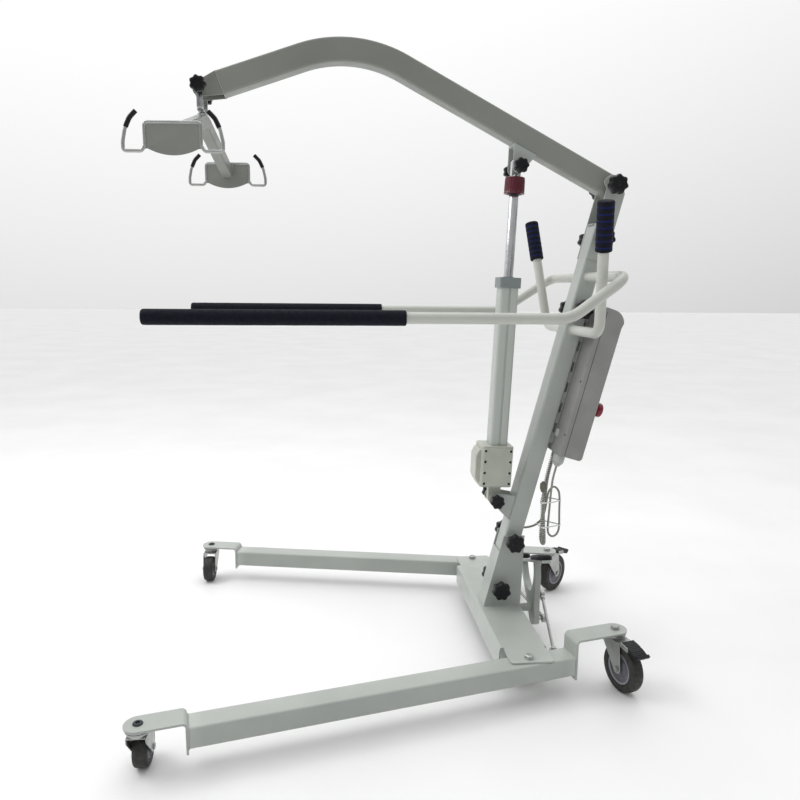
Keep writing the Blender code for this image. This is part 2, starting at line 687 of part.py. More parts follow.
# ---------------------------------------------------------------- mast
def make_mast(mast):
    """The leaning column, with the bolted knobs along it."""
    outer = rounded_rectangle(MAST_Y, MAST_X, 0.006)
    inner = rounded_rectangle(MAST_Y - 2 * WALL, MAST_X - 2 * WALL, 0.0035)
    tube = swept([(0.0, 0.0, MAST_BOTTOM), (0.0, 0.0, MAST_TOP)], outer, inner)
    cuts = [cylinder(0.0056, -0.05, 0.05, "Y", (0.0, 0.0, along)) for along in MAST_BOLTS.values()]
    cuts.append(cylinder(TUBE_R + 0.0006, -0.05, 0.05, "Y", mast_local(CROSS_TUBE), 16))
    inlet = mast_local((on_line(MAST_X / 2, CABLE_INLET_Z), CABLE_INLET_Z))
    cuts.append(cylinder(CABLE_R + 0.001, 0.0, 0.05, "X", (0.0, -0.010, inlet[2]), 10))
    make("mast_tube", tube, "frame_paint", mast, cuts=cuts)
    half = MAST_Y / 2 + 0.0005
    knob_pair("base_lower_knobs", mast, (0.0, 0.0, MAST_BOLTS["base_lower"]), 0.027, half + 0.0042, 0.040)
    knob_pair("base_upper_knobs", mast, (0.0, 0.0, MAST_BOLTS["base_upper"]), 0.027, half + 0.0042, 0.040)
    knob_pair("clamp_knobs", mast, (0.0, 0.0, MAST_BOLTS["clamp"]), 0.027, half + 0.0005, 0.040)
    knob_pair("yoke_knobs", mast, (0.0, 0.0, MAST_BOLTS["yoke"]), 0.027, half + 0.0052, 0.040)
    make_yoke(mast, half)


def mast_local(point):
    """A point (X, Z) from the leg pivots, in the mast's frame."""
    lean = math.radians(MAST_LEAN)
    dx, dz = point[0] - MAST_FOOT[0], point[1] - MAST_FOOT[2]
    behind = dx * math.cos(lean) - dz * math.sin(lean)
    along = dx * math.sin(lean) + dz * math.cos(lean)
    return behind, 0.0, along


def make_yoke(mast, half):
    """The head of the mast: two ears that hold the boom's pivot, joined by a web behind."""
    pivot_w, _, pivot_u = mast_local((BOOM_PIVOT[0], BOOM_PIVOT[2]))
    front, rear, low = -MAST_X / 2, MAST_X / 2 + 0.004, 0.968
    outline = [(front, low), (rear, low)]
    outline += [(rear, pivot_u - 0.012)]
    outline += arc((pivot_w, pivot_u), 0.029, 5, 175, 8)
    outline += [(front, pivot_u - 0.012)]
    block_shape = prism(outline, 2 * (half + 0.0045))
    throat = block((-0.1, -half, low - 0.01), (MAST_X / 2 + 0.0005, half, pivot_u + 0.1))
    behind_boom = block((0.0, -half, 1.110), (0.1, half, pivot_u + 0.1))
    cuts = [throat, behind_boom, cylinder(0.0056, -0.06, 0.06, "Y", (0.0, 0.0, MAST_BOLTS["yoke"]))]
    cuts.append(cylinder(0.0066, -0.06, 0.06, "Y", (pivot_w, 0.0, pivot_u)))
    make("mast_yoke", block_shape, "frame_paint", mast, cuts=cuts)
    knob_pair("boom_pivot_knobs", mast, (pivot_w, 0.0, pivot_u), 0.027, half + 0.0052, 0.040, 0.006)


# ---------------------------------------------------------------- boom
def make_boom(base):
    """The bent box tube, with the nose plates that hold the hanger."""
    frame = empty("boom_axis", [a + b for a, b in zip(base.location, BOOM_PIVOT)])
    pivot = Vector(BOOM_PIVOT)
    corner, front = Vector(BOOM_CORNER) - pivot, Vector(BOOM_FRONT) - pivot
    rear = -corner.normalized() * 0.030
    outer = rounded_rectangle(BOOM_WIDTH, BOOM_DEPTH, 0.006)
    inner = rounded_rectangle(BOOM_WIDTH - 2 * WALL, BOOM_DEPTH - 2 * WALL, 0.0035)
    tube = swept(bent([rear, corner, front], [BOOM_BEND], 8), outer, inner)
    tip = Vector(TIP_PIN) - pivot
    nose = [
        (front.x + 0.010, front.z + 0.0315),
        (front.x - 0.012, front.z + 0.0270),
        (tip.x + 0.006, tip.z + 0.026),
    ]
    nose += arc((tip.x, tip.z), 0.020, 100, 262, 6)
    nose += [(front.x + 0.013, front.z - 0.0280)]
    cheeks = prism(nose, BOOM_WIDTH - 0.002)
    roof = 0.004
    hollow = [
        (front.x + 0.060, front.z + 0.0450), (front.x + 0.012, front.z + 0.0255),
        (front.x - 0.010, front.z + 0.0215), (tip.x + 0.010, tip.z + 0.026 - roof),
        (tip.x - 0.050, tip.z - 0.004), (tip.x - 0.050, tip.z - 0.050), (front.x + 0.060, front.z - 0.060),
    ]
    pin_hole = cylinder(0.0056, -0.05, 0.05, "Y", tip)
    pivot_hole = cylinder(0.0066, -0.05, 0.05, "Y")
    nose_hollow = prism([p for p in hollow if p[0] < front.x + 0.0125 or p[1] < 0], BOOM_WIDTH - 0.011)
    make("boom", tube, "boom_paint", frame, adds=[cheeks], cuts=[nose_hollow, pin_hole, pivot_hole])
    make_boom_lug(frame, pivot)
    knob_pair("boom_tip_knobs", frame, tip, 0.0205, 0.0402, 0.034)
    return frame


def make_boom_lug(frame, pivot):
    """A channel welded under the boom: two plates, joined at the top, that take the upper pin."""
    pin = Vector(UPPER_PIN) - pivot
    slope = -BOOM_SLOPE
    under = -BOOM_DEPTH / 2 * math.hypot(1.0, slope) - GAP

    def below_boom(x, drop=0.0):
        return (x, slope * x + under - drop)

    front, rear = 0.000 - pivot.x, 0.061 - pivot.x
    outline = arc((pin.x, pin.z), 0.0155, 170, 320, 7) + [below_boom(rear), below_boom(front)]
    inside = BOOM_WIDTH / 2
    slot = prism(
        [below_boom(-0.5, 0.2), below_boom(0.0, 0.2), below_boom(0.0, SHEET), below_boom(-0.5, SHEET)],
        2 * inside,
    )
    hole = cylinder(0.0056, -0.05, 0.05, "Y", pin)
    make("boom_lug", prism(outline, 2 * (inside + SHEET)), "frame_paint", frame, cuts=[slot, hole])
    for side, sign in (("left", -1), ("right", 1)):
        name = f"actuator_upper_knob_{side}"
        knob(name, frame, pin, 0.0205, inside + SHEET + 0.0005, 0.034, sign, 0.0135)


# ---------------------------------------------------------------- actuator
def make_actuator(base):
    """The gearbox and tube that tilt together, and the rod with its collar that slides in them."""
    rise = Vector(UPPER_PIN) - Vector(LOWER_PIN)
    tilt = math.degrees(math.atan2(rise.x, rise.z))
    length = rise.length
    frame = empty("actuator_axis", [a + b for a, b in zip(base.location, LOWER_PIN)], rotation=(0, tilt, 0))
    eye_low = prism(arc((0, 0), 0.018, 180, 360, 8) + [(0.018, 0.045), (-0.018, 0.045)], 0.020)
    body = rounded_rectangle(0.092, 0.092, 0.010, 2)
    housing = stacked([(0.040, body), (0.158, body)])
    bulge = prism(
        [
            (-0.064, 0.064), (-0.064, 0.128), (-0.052, 0.150),
            (-0.030, 0.152), (-0.030, 0.046), (-0.052, 0.046),
        ],
        0.060,
    )
    bore = cylinder(0.0066, -0.03, 0.03, "Y")
    shift = (-0.006, 0.0, 0.0)
    make(
        "actuator_gearbox", moved(housing, shift), "cream_plastic", frame,
        adds=[eye_low, moved(bulge, shift)], cuts=[bore],
    )
    tube_low, tube_high = 0.158 + GAP, 0.600
    outer = rounded_rectangle(0.056, 0.050, 0.008, 2)
    inner = rounded_rectangle(0.048, 0.042, 0.005, 2)
    tube = swept([(0, 0, tube_low), (0, 0, tube_high)], outer, inner)
    rim = rounded_rectangle(0.060, 0.062, 0.006)
    cap = stacked([(tube_high - 0.001, rim), (tube_high + 0.028, rim)])
    rod_hole = cylinder(ROD_R + 0.0005, tube_high - 0.02, tube_high + 0.06, "Z", steps=16)
    make("actuator_tube", tube, "frame_paint", frame, adds=[cap], cuts=[rod_hole])
    slide = empty("rod_axis", (0.0, 0.0, length), frame)
    rod = turned([(ROD_R, 0.365 - length), (ROD_R, -0.018), (0.010, -0.014)], 16)
    eye = prism(arc((0, 0.015), 0.0125, 0, 180, 6) + [(-0.0125, -0.0200), (0.0125, -0.0200)], 0.020)
    make("piston_rod", rod, "chrome", slide, adds=[eye], cuts=[cylinder(0.0062, -0.03, 0.03, "Y")])
    bore_r = ROD_R + 0.0004
    collar = ring_turned(
        [
            (bore_r, -0.067), (0.0285, -0.067), (0.0275, -0.058), (0.0265, -0.026), (0.0245, -0.023),
            (bore_r, -0.023),
        ],
        20,
    )
    make("quick_release_collar", collar, "maroon_plastic", slide)
    return frame


def make_lower_bracket(mast):
    """The U bracket on the mast's front that holds the actuator's lower pin."""
    pin_w, _, pin_u = mast_local((LOWER_PIN[0], LOWER_PIN[2]))
    back = -MAST_X / 2 - GAP
    outline = [(back, pin_u - 0.050), (back, pin_u + 0.022), (pin_w + 0.004, pin_u + 0.019)]
    outline += arc((pin_w, pin_u), 0.0185, 80, 280, 8)
    shape = prism(outline, 0.056)
    inside = block((-0.3, -0.024, pin_u - 0.2), (back - 0.004, 0.024, pin_u + 0.2))
    hole = cylinder(0.0056, -0.05, 0.05, "Y", (pin_w, 0.0, pin_u))
    make("actuator_lower_bracket", shape, "frame_paint", mast, cuts=[inside, hole])
    knob_pair("actuator_lower_knobs", mast, (pin_w, 0.0, pin_u), 0.0205, 0.0285, 0.034)


# ---------------------------------------------------------------- spreader
def make_spreader(boom):
    """The U link on the boom's tip and, on its swivel pin, the beam with its two hook frames."""
    tip = Vector(TIP_PIN) - Vector(BOOM_PIVOT)
    hanger = empty("hanger_axis", tip, boom)
    inside, sheet, half_x = 0.0362, 0.0030, 0.008
    low = -0.052
    outline = arc((0, 0), 0.010, 20, 160, 6) + [(-half_x, low - sheet), (half_x, low - sheet)]
    link = prism(outline, 2 * (inside + sheet))
    gap_block = block((-0.03, -inside, low), (0.03, inside, 0.03))
    cuts = [gap_block, cylinder(0.0056, -0.05, 0.05, "Y"), cylinder(0.0066, -0.08, -0.03, "Z")]
    make("hanger_link", link, "chrome", hanger, cuts=cuts)
    swivel = empty("spreader_axis", (0.0, 0.0, -APEX_DROP), hanger, (0.0, 0.0, SPREADER_TURN))
    end_z = -0.100
    half = SPREADER_HALF - 0.0018
    section = rounded_rectangle(0.030, 0.034, 0.004)
    bore = rounded_rectangle(0.025, 0.029, 0.002)
    route = bent([(0, -half, end_z), (0, 0, -0.016), (0, half, end_z)], [0.05], 4)
    beam = swept(route, section, bore, side=(1.0, 0.0, 0.0))
    for_pin = [
        (0.0058, -0.012), (0.0058, -0.004), (0.013, -0.004), (0.013, APEX_DROP + low - 0.0033 - 0.0003),
        (0.0058, APEX_DROP + low - 0.0033 - 0.0003), (0.0058, APEX_DROP + low + 0.0003),
        (0.0105, APEX_DROP + low + 0.0003), (0.0105, APEX_DROP + low + 0.0090),
    ]
    trims = []
    for s in (-1, 1):
        middle = s * (half + 0.05)
        trims.append(block((-0.1, middle - 0.05, -0.2), (0.1, middle + 0.05, 0.1)))
    make("spreader_beam", beam, "boom_paint", swivel, adds=[turned(for_pin, 12)], cuts=trims)
    for side, sign in (("left", -1), ("right", 1)):
        make_hook_frame(side, sign, swivel)
    return hanger


def make_hook_frame(side, sign, swivel):
    """An end plate with the wire that frames it and runs on into a hook at each side."""
    top, bottom, plate_half = -0.075, -0.131, 0.062
    plate = [(-plate_half, top), (-plate_half, bottom)]
    for x in (-0.056, -0.036, -0.012, 0.012, 0.036, 0.056):
        plate.append((x, bottom - 0.014 * (1 - (x / 0.056) ** 2)))
    plate += [(plate_half, bottom), (plate_half, top)]
    hook = [
        (0.080, -0.052), (0.094, -0.066), (0.1050, -0.090), (0.1105, -0.116), (0.1105, -0.136),
        (0.070, -0.136), (plate_half, -0.124), (plate_half, top),
    ]
    radii = [0.03, 0.04, 0.04, 0.007, 0.010, 0.008, 0.008]
    corners = [(-x, 0.0, z) for x, z in hook] + [(x, 0.0, z) for x, z in reversed(hook)]
    route = bent(corners, radii + list(reversed(radii)), 2)
    wire = swept(route, circle(0.004, 6), side=(0.0, 1.0, 0.0))
    at = (0.0, sign * SPREADER_HALF, 0.0)
    make(f"{side}_hook_frame", moved(prism(plate, 0.003), at), "boom_paint", swivel, adds=[moved(wire, at)])


# ---------------------------------------------------------------- walking frame and push handles
def make_walking_frame(base):
    """The bent tube through the mast that gives the two walking arms, and their grips."""
    x, z = CROSS_TUBE
    half = [(ARM_FRONT, ARM_Y, ARM_Z), (0.072, ARM_Y, ARM_Z), (x - 0.004, 0.285, z), ]
    corners = [(a, -b, c) for a, b, c in half[:2]] + [(x, -0.285, z), (x, 0.285, z)]
    corners += [half[1], half[0]]
    route = bent(corners, [0.10, 0.055, 0.055, 0.10], 5)
    tube = swept(route, circle(TUBE_R, 12), circle(TUBE_R - 0.002, 12), side=(0.0, 0.0, 1.0))
    make("walking_frame", tube, "frame_paint", base)
    for side, sign in (("left", -1), ("right", 1)):
        bore = TUBE_R + 0.0004
        grip = [
            (0.003, ARM_FRONT - 0.006), (ARM_GRIP_R - 0.003, ARM_FRONT - 0.006),
            (ARM_GRIP_R, ARM_FRONT - 0.003),
            (ARM_GRIP_R, ARM_GRIP_REAR - 0.001), (ARM_GRIP_R - 0.001, ARM_GRIP_REAR), (bore, ARM_GRIP_REAR),
            (bore, ARM_FRONT - 0.001), (0.003, ARM_FRONT - 0.001),
        ]
        shape = moved(turned(grip, 20, "X"), (0.0, sign * ARM_Y, ARM_Z))
        make(f"{side}_arm_grip", shape, "foam", base)
        make_push_handle(side, sign, base)


def make_push_handle(side, sign, base):
    """One upright handle, and its grip."""
    x = on_line(0.0, HANDLE_Z)
    start_y = MAST_Y / 2 + GAP
    elbow = Vector((x + 0.002, sign * 0.206, HANDLE_Z))
    top = Vector((0.153, sign * 0.292, 1.230))
    corners = [(x, sign * start_y, HANDLE_Z), elbow, top]
    tube = swept(bent(corners, [0.045], 6), circle(TUBE_R, 12), circle(TUBE_R - 0.002, 12), side=(0, 0, 1))
    make(f"{side}_push_handle", tube, "frame_paint", base)
    direction = (top - elbow).normalized()
    turn = direction.to_track_quat("Z", "Y").to_matrix().to_4x4()
    bore, length = TUBE_R + 0.0004, 0.117
    grip = [(0.003, 0.004), (0.018, 0.004), (0.0205, 0.001), (0.0205, 0.003 - length), (0.0195, -length)]
    grip += [(bore, -length), (bore, 0.0006), (0.003, 0.0006)]
    make(f"{side}_push_grip", moved(turned(grip, 20), top, turn), "foam", base)


# ---------------------------------------------------------------- control box and cords
def make_control_box(mast):
    """The box behind the mast, with its stop button and cable gland."""
    outline = [(BOX_FRONT, BOX_BOTTOM), (BOX_FRONT, BOX_TOP - 0.006), (BOX_FRONT + 0.010, BOX_TOP)]
    outline += arc((BOX_REAR - 0.034, BOX_TOP - 0.040), 0.038, 85, 12, 5)
    outline += [(BOX_REAR, BOX_TOP - 0.045)]
    outline += arc((BOX_REAR - 0.010, BOX_BOTTOM + 0.008), 0.010, 0, -90, 3)
    box = prism(outline, 2 * BOX_HALF_Y)
    rail = block((MAST_X / 2 + GAP, -0.022, BOX_BOTTOM + 0.020), (BOX_FRONT + 0.001, 0.022, BOX_TOP - 0.030))
    button_at = (BOX_REAR, -0.055, 0.573)
    button_hole = moved(cylinder(0.0105, -0.022, 0.01, "X", steps=16), button_at)
    cord_hole = cylinder(COIL_R + 0.0006, BOX_BOTTOM - 0.01, BOX_BOTTOM + 0.016, "Z", (*CORD_INLET, 0.0))
    make("control_box", box, "box_plastic", mast, adds=[rail], cuts=[button_hole, cord_hole])
    profile = [(0.009, -0.017), (0.009, 0.006), (0.012, 0.010)]
    profile += [(0.020, 0.016), (0.020, 0.026), (0.015, 0.032)]
    button = turned(profile, 20, "X")
    stop_frame = empty("stop_button_axis", button_at, mast)
    make("emergency_stop_button", button, "red_plastic", stop_frame)
    gland = [(CABLE_R + 0.0004, -0.024), (CABLE_R + 0.0004, -0.034), (0.0075, -0.034), (0.0125, -0.026)]
    gland += [(0.0155, -0.022), (0.0155, 0.0)]
    gland_at = (GLAND[0], GLAND[1], BOX_BOTTOM - 0.002 - GAP)
    make("cable_gland", moved(turned(gland, 16), gland_at), "box_plastic", mast)


def smooth_route(points, per_span=4):
    """A smooth curve through the route's own points (Catmull-Rom)."""
    knots = [Vector(p) for p in points]
    ends = [2 * knots[0] - knots[1]] + knots + [2 * knots[-1] - knots[-2]]
    route = []
    for a, b, c, d in zip(ends, ends[1:], ends[2:], ends[3:]):
        for step in range(per_span):
            t = step / per_span
            route.append(
                0.5 * (2 * b + (c - a) * t)
                + 0.5 * (2 * a - 5 * b + 4 * c - d) * t**2
                + 0.5 * (3 * b - a - 3 * c + d) * t**3
            )
    return route + [knots[-1]]


def make_cord(name, points, radius, parent, per_span=4):
    """One cord as a curve along its route."""
    curve = bpy.data.curves.new(name, "CURVE")
    curve.dimensions = "3D"
    curve.bevel_depth = radius
    curve.bevel_resolution = 2
    curve.use_fill_caps = True
    route = smooth_route(points, per_span)
    spline = curve.splines.new("POLY")
    spline.points.add(len(route) - 1)
    for place, point in zip(spline.points, route):
        place.co = (*point, 1.0)
    obj = bpy.data.objects.new(name, curve)
    obj.data.materials.append(MATERIALS["cable_grey"])
    obj.parent = parent
    bpy.context.scene.collection.objects.link(obj)
    return obj


def make_cords(base):
    """The motor's cable and the handset's curly cord, looped and tied together under the box."""
    lean = math.radians(MAST_LEAN)
    gland_x, gland_z = mast_point(GLAND[0], BOX_BOTTOM - 0.027)
    inlet_u = mast_local((on_line(MAST_X / 2, CABLE_INLET_Z), CABLE_INLET_Z))[2]
    outside, inside = mast_point(MAST_X / 2 + 0.010, inlet_u), mast_point(MAST_X / 2 - 0.010, inlet_u)
    cable = [
        (gland_x, GLAND[1], gland_z),
        (gland_x - 0.020 * math.sin(lean), GLAND[1], gland_z - 0.020 * math.cos(lean)),
        (0.1365, -0.0565, 0.490), (0.1340, -0.0530, 0.440),
        (0.1330, -0.0490, 0.390), (0.1325, -0.0455, 0.345),
        (0.1385, -0.0420, 0.326), (0.1510, -0.0390, 0.3185),
        (0.1635, -0.0370, 0.326), (0.1695, -0.0360, 0.345),
        (0.1690, -0.0340, 0.390), (0.1680, -0.0330, 0.435),
        (0.1630, -0.0320, 0.455), (0.1510, -0.0310, 0.4650),
        (0.1385, -0.0300, 0.455), (0.1330, -0.0290, 0.435),
        (0.1290, -0.0280, 0.400), (0.1210, -0.0240, 0.368),
        (0.1040, -0.0150, 0.346), (outside[0], -0.0100, outside[1]), (inside[0], -0.0100, inside[1]),
    ]
    make_cord("motor_cable", cable, CABLE_R, base, 3)
    end_x, end_z = mast_point(CORD_INLET[0], BOX_BOTTOM + 0.014)
    low_x, low_z = mast_point(CORD_INLET[0], BOX_BOTTOM - 0.010)
    plug = (0.1130, -0.0480, 0.4560)
    cord = [
        (plug[0], plug[1], plug[2] - 3 * GAP), (0.1132, -0.0490, 0.420), (0.1150, -0.0510, 0.375),
        (0.1180, -0.0505, 0.340), (0.1210, -0.0470, 0.314), (0.1240, -0.0370, 0.2995),
        (0.1255, -0.0250, 0.2955), (0.1265, -0.0130, 0.2995), (0.1275, -0.0040, 0.314),
        (0.1290, -0.0010, 0.340), (0.1310, -0.0030, 0.385),
        (0.1325, -0.0070, 0.435), (0.1355, -0.0120, 0.490),
        (low_x, CORD_INLET[1], low_z), (end_x, CORD_INLET[1], end_z),
    ]
    make_cord("handset_cord", cord, COIL_R, base, 3)
    shape = turned([(0.0060, 0.0), (0.0060, 0.010), (0.0075, 0.012), (0.0075, 0.026), (0.0045, 0.028)], 12)
    make("handset_plug", moved(shape, plug), "grey_plastic", base)


def build():
    """Makes the frames and every piece on them."""
    base = empty("base_axis", (PIVOT_X, 0.0, 0.0))
    mast = empty("mast_axis", MAST_FOOT, base, (0.0, MAST_LEAN, 0.0))
    make_cross_member(base)
    make_socket(base)
    for side, sign in (("left", -1), ("right", 1)):
        make_pivot_bolt(side, sign, base)
        make_leg(side, sign)
        make_tie_rod(side, sign)
    make_pedal(base)
    make_mast(mast)
    boom = make_boom(base)
    make_lower_bracket(mast)
    make_actuator(base)
    make_spreader(boom)
    make_walking_frame(base)
    make_control_box(mast)
    make_cords(base)


clear_scene()
MATERIALS = make_materials()
build()
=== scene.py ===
"""Patient lift hoist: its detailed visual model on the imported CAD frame, with materials, light and camera."""

import math

import bmesh
import bpy
from mathutils import Matrix, Vector, noise


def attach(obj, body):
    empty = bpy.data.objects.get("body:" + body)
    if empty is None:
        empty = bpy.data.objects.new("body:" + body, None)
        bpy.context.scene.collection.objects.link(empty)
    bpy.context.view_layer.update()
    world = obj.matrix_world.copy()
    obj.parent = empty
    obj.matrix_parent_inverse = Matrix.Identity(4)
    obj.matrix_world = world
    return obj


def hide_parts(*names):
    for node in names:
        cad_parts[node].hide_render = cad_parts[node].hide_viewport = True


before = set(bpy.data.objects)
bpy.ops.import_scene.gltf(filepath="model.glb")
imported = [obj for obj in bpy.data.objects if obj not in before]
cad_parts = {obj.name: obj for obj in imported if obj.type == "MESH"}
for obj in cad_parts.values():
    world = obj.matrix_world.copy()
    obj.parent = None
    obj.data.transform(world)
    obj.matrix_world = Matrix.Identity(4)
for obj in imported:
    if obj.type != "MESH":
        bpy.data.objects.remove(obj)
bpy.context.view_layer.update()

# ---------------------------------------------------------------- driving dimensions (metres, degrees)
PIVOT_X = 0.3014            # line of the two leg pivots, from the origin
GAP = 0.0003                # clearance between pieces that touch

# base
PIVOT_Y = 0.331             # each leg pivot from the centre line
LEG_SPLAY = 12.0            # legs at rest, fully open
LEG_WIDTH, LEG_DEPTH = 0.060, 0.050
LEG_TOP = 0.105
LEG_FRONT, LEG_REAR = -0.824, 0.118
WALL = 0.0025
SHEET = 0.004               # folded sheet steel of the cross member and lugs
BRACKET_SHEET = 0.005
BRACKET_TIP = 0.030
CROSS_HALF_X, CROSS_HALF_Y = 0.064, 0.280
TONGUE_END_Y = 0.352
FLANGE_FOOT_Z = 0.050
CROSS_TOP = LEG_TOP + GAP + SHEET

# casters: wheel radius, wheel width, trail, height of the mounting face, distance along the leg
FRONT_CASTER = dict(radius=0.042, width=0.032, trail=0.034, height=0.113, along=-0.924, race=0.027)
REAR_CASTER = dict(radius=0.0625, width=0.032, trail=0.040, height=0.145, along=0.2515, race=0.028)
CASTER_HEADING = {"left_front": 90.0, "right_front": -95.0, "left_rear": -75.0, "right_rear": 40.0}

# pedal that opens and closes the legs
PEDAL_PIVOT = (0.115, 0.0, 0.085)
PEDAL_TILT = -20.0
PEDAL_BAR_Z = 0.132         # underside of the foot bar above the pivot
TIE_PIN_R = 0.035           # tie rod pins above and below the pedal pivot
TIE_PIN_X = 0.028           # plane of the tie rods behind the pedal's plate

# mast
MAST_FOOT = (-0.003, 0.0, 0.168)
MAST_LEAN = 14.25
MAST_X, MAST_Y = 0.050, 0.064
MAST_BOTTOM, MAST_TOP = -0.052, 1.066
SOCKET_TOP, SOCKET_FRONT_TOP = 0.322, 0.275
SOCKET_SHEET = 0.0035
MAST_BOLTS = {"base_lower": 0.0, "base_upper": 0.146, "clamp": 0.829, "yoke": 1.028}

# boom
BOOM_PIVOT = (0.277, 0.0, 1.305)
BOOM_CORNER = (-0.4225, 0.0, 1.6522)
BOOM_FRONT = (-0.7609, 0.0, 1.5308)
BOOM_DEPTH, BOOM_WIDTH = 0.060, 0.050
BOOM_SLOPE = (BOOM_CORNER[2] - BOOM_PIVOT[2]) / (BOOM_PIVOT[0] - BOOM_CORNER[0])
BOOM_BEND = 0.335
TIP_PIN = (-0.808, 0.0, 1.5145)

# actuator
LOWER_PIN = (-0.020, 0.0, 0.430)
UPPER_PIN = (0.014, 0.0, 1.348)
ROD_R = 0.013

# spreader
SPREADER_TURN = -6.1
SPREADER_HALF = 0.258
APEX_DROP = 0.0585          # top of the beam under the tip pin

# walking frame and push handles
TUBE_R = 0.0135
ARM_Y, ARM_Z = 0.315, 0.958
ARM_FRONT, ARM_GRIP_REAR = -0.902, -0.320
ARM_GRIP_R = 0.018
CROSS_TUBE = (0.222, 1.060)
HANDLE_Z = 0.915

# control box, in the mast's frame
BOX_FRONT, BOX_REAR = 0.037, 0.104
BOX_BOTTOM, BOX_TOP = 0.427, 0.851
BOX_HALF_Y = 0.100

GLAND = (0.054, -0.058)      # behind the mast's axis and across, as is the next line
CORD_INLET = (0.052, -0.016)
CABLE_INLET_Z = 0.340       # where the motor's cable goes into the back of the mast
CABLE_R = 0.003
COIL_R = 0.006

# cords: points from the pivots' line, and the two ties round the gathered cords
MOTOR_WAY = [
    (0.1365, -0.0565, 0.490), (0.1340, -0.0530, 0.440), (0.1330, -0.0490, 0.390), (0.1325, -0.0455, 0.345),
    (0.1385, -0.0420, 0.326), (0.1510, -0.0390, 0.3185), (0.1635, -0.0370, 0.326), (0.1695, -0.0360, 0.345),
    (0.1690, -0.0340, 0.390), (0.1680, -0.0330, 0.435), (0.1630, -0.0320, 0.455), (0.1510, -0.0310, 0.4650),
    (0.1385, -0.0300, 0.455), (0.1330, -0.0290, 0.435), (0.1290, -0.0280, 0.400), (0.1210, -0.0240, 0.368),
    (0.1040, -0.0150, 0.346),
]
HANDSET_WAY = [
    (0.1132, -0.0490, 0.420), (0.1150, -0.0510, 0.375), (0.1180, -0.0505, 0.340), (0.1210, -0.0470, 0.314),
    (0.1240, -0.0370, 0.2995), (0.1255, -0.0250, 0.2955), (0.1265, -0.0130, 0.2995), (0.1275, -0.0040, 0.314),
    (0.1290, -0.0010, 0.340), (0.1310, -0.0030, 0.385), (0.1325, -0.0070, 0.435), (0.1355, -0.0120, 0.490),
]
PLUG_AT = (0.1130, -0.0480, 0.4560)
CABLE_TIES = (0.352, 0.425)


# ---------------------------------------------------------------- shapes, as (points, faces)
# where a point at (a, b) across an axis and h along it lies
ALONG = {
    "X": lambda a, b, h: (h, a, b),
    "Y": lambda a, b, h: (a, h, b),
    "Z": lambda a, b, h: (a, b, h),
}


def band(a, b, count):
    """The faces between two rings of points, one starting at point a and the other at point b."""
    return [(a + k, a + (k + 1) % count, b + (k + 1) % count, b + k) for k in range(count)]


def arc(centre, radius, start, end, steps):
    """Points on a circle in a plane, from one angle to another, in degrees."""
    angles = [math.radians(start + (end - start) * i / steps) for i in range(steps + 1)]
    return [(centre[0] + radius * math.cos(a), centre[1] + radius * math.sin(a)) for a in angles]


def circle(radius, steps):
    """Points evenly round the origin."""
    return arc((0.0, 0.0), radius, 0.0, 360.0, steps)[:-1]


def hexagon(flats, turn=0.0):
    """A hexagon in twelve points, so that it can be skinned to a circle of twelve."""
    points = []
    for i in range(12):
        radius = flats / 2 if i % 2 else flats / 2 / math.cos(math.pi / 6)
        angle = math.radians(30 * i + turn)
        points.append((radius * math.cos(angle), radius * math.sin(angle)))
    return points


def star(radius, lobes=7, depth=0.16, per_lobe=2):
    """The lobed outline of a hand knob."""
    points = []
    for i in range(lobes * per_lobe):
        angle = 2 * math.pi * i / (lobes * per_lobe)
        wave = 0.5 + 0.5 * math.cos(lobes * angle)
        r = radius * (1 - depth * (1 - wave))
        points.append((r * math.cos(angle), r * math.sin(angle)))
    return points


def rounded_rectangle(width, height, radius, steps=2):
    """An outline round the origin, each corner an arc."""
    points = []
    for sx, sy, start in ((1, 1, 0), (-1, 1, 90), (-1, -1, 180), (1, -1, 270)):
        centre = (sx * (width / 2 - radius), sy * (height / 2 - radius))
        points += arc(centre, radius, start, start + 90, steps)
    return points


def prism(outline, depth, axis="Y", centre=0.0):
    """An outline given a thickness along the axis that it's drawn across."""
    count = len(outline)
    points = [ALONG[axis](a, b, centre + way * depth / 2) for way in (-1, 1) for a, b in outline]
    return points, band(0, count, count) + [tuple(range(count)), tuple(range(count, 2 * count))]


def block(low, high):
    """A box between two opposite corners."""
    outline = [(low[0], low[2]), (high[0], low[2]), (high[0], high[2]), (low[0], high[2])]
    return prism(outline, high[1] - low[1], "Y", (low[1] + high[1]) / 2)


def stacked(rings, axis="Z"):
    """Skins outlines of equal point count, each at its own height on an axis, and caps both ends."""
    count = len(rings[0][1])
    points = [ALONG[axis](a, b, height) for height, outline in rings for a, b in outline]
    faces = []
    for ring in range(len(rings) - 1):
        faces += band(ring * count, (ring + 1) * count, count)
    faces += [tuple(range(count)), tuple(range(len(points) - count, len(points)))]
    return points, faces


def turned(profile, steps, axis="Z"):
    """Stacks circles: profile is a list of (radius, height)."""
    return stacked([(height, circle(radius, steps)) for radius, height in profile], axis)


def ring_turned(profile, steps, axis="Z"):
    """Turns a closed profile of (radius, height) about an axis that it doesn't touch."""
    count = len(profile)
    points, faces = [], []
    for i in range(steps):
        angle = 2 * math.pi * i / steps
        points += [ALONG[axis](r * math.cos(angle), r * math.sin(angle), h) for r, h in profile]
        faces += band(i * count, (i + 1) % steps * count, count)
    return points, faces


def moved(shape, offset=(0.0, 0.0, 0.0), turn=None):
    """The shape turned by a matrix, then shifted."""
    matrix = Matrix.Translation(offset) @ (turn or Matrix.Identity(4))
    return [tuple(matrix @ Vector(p)) for p in shape[0]], shape[1]


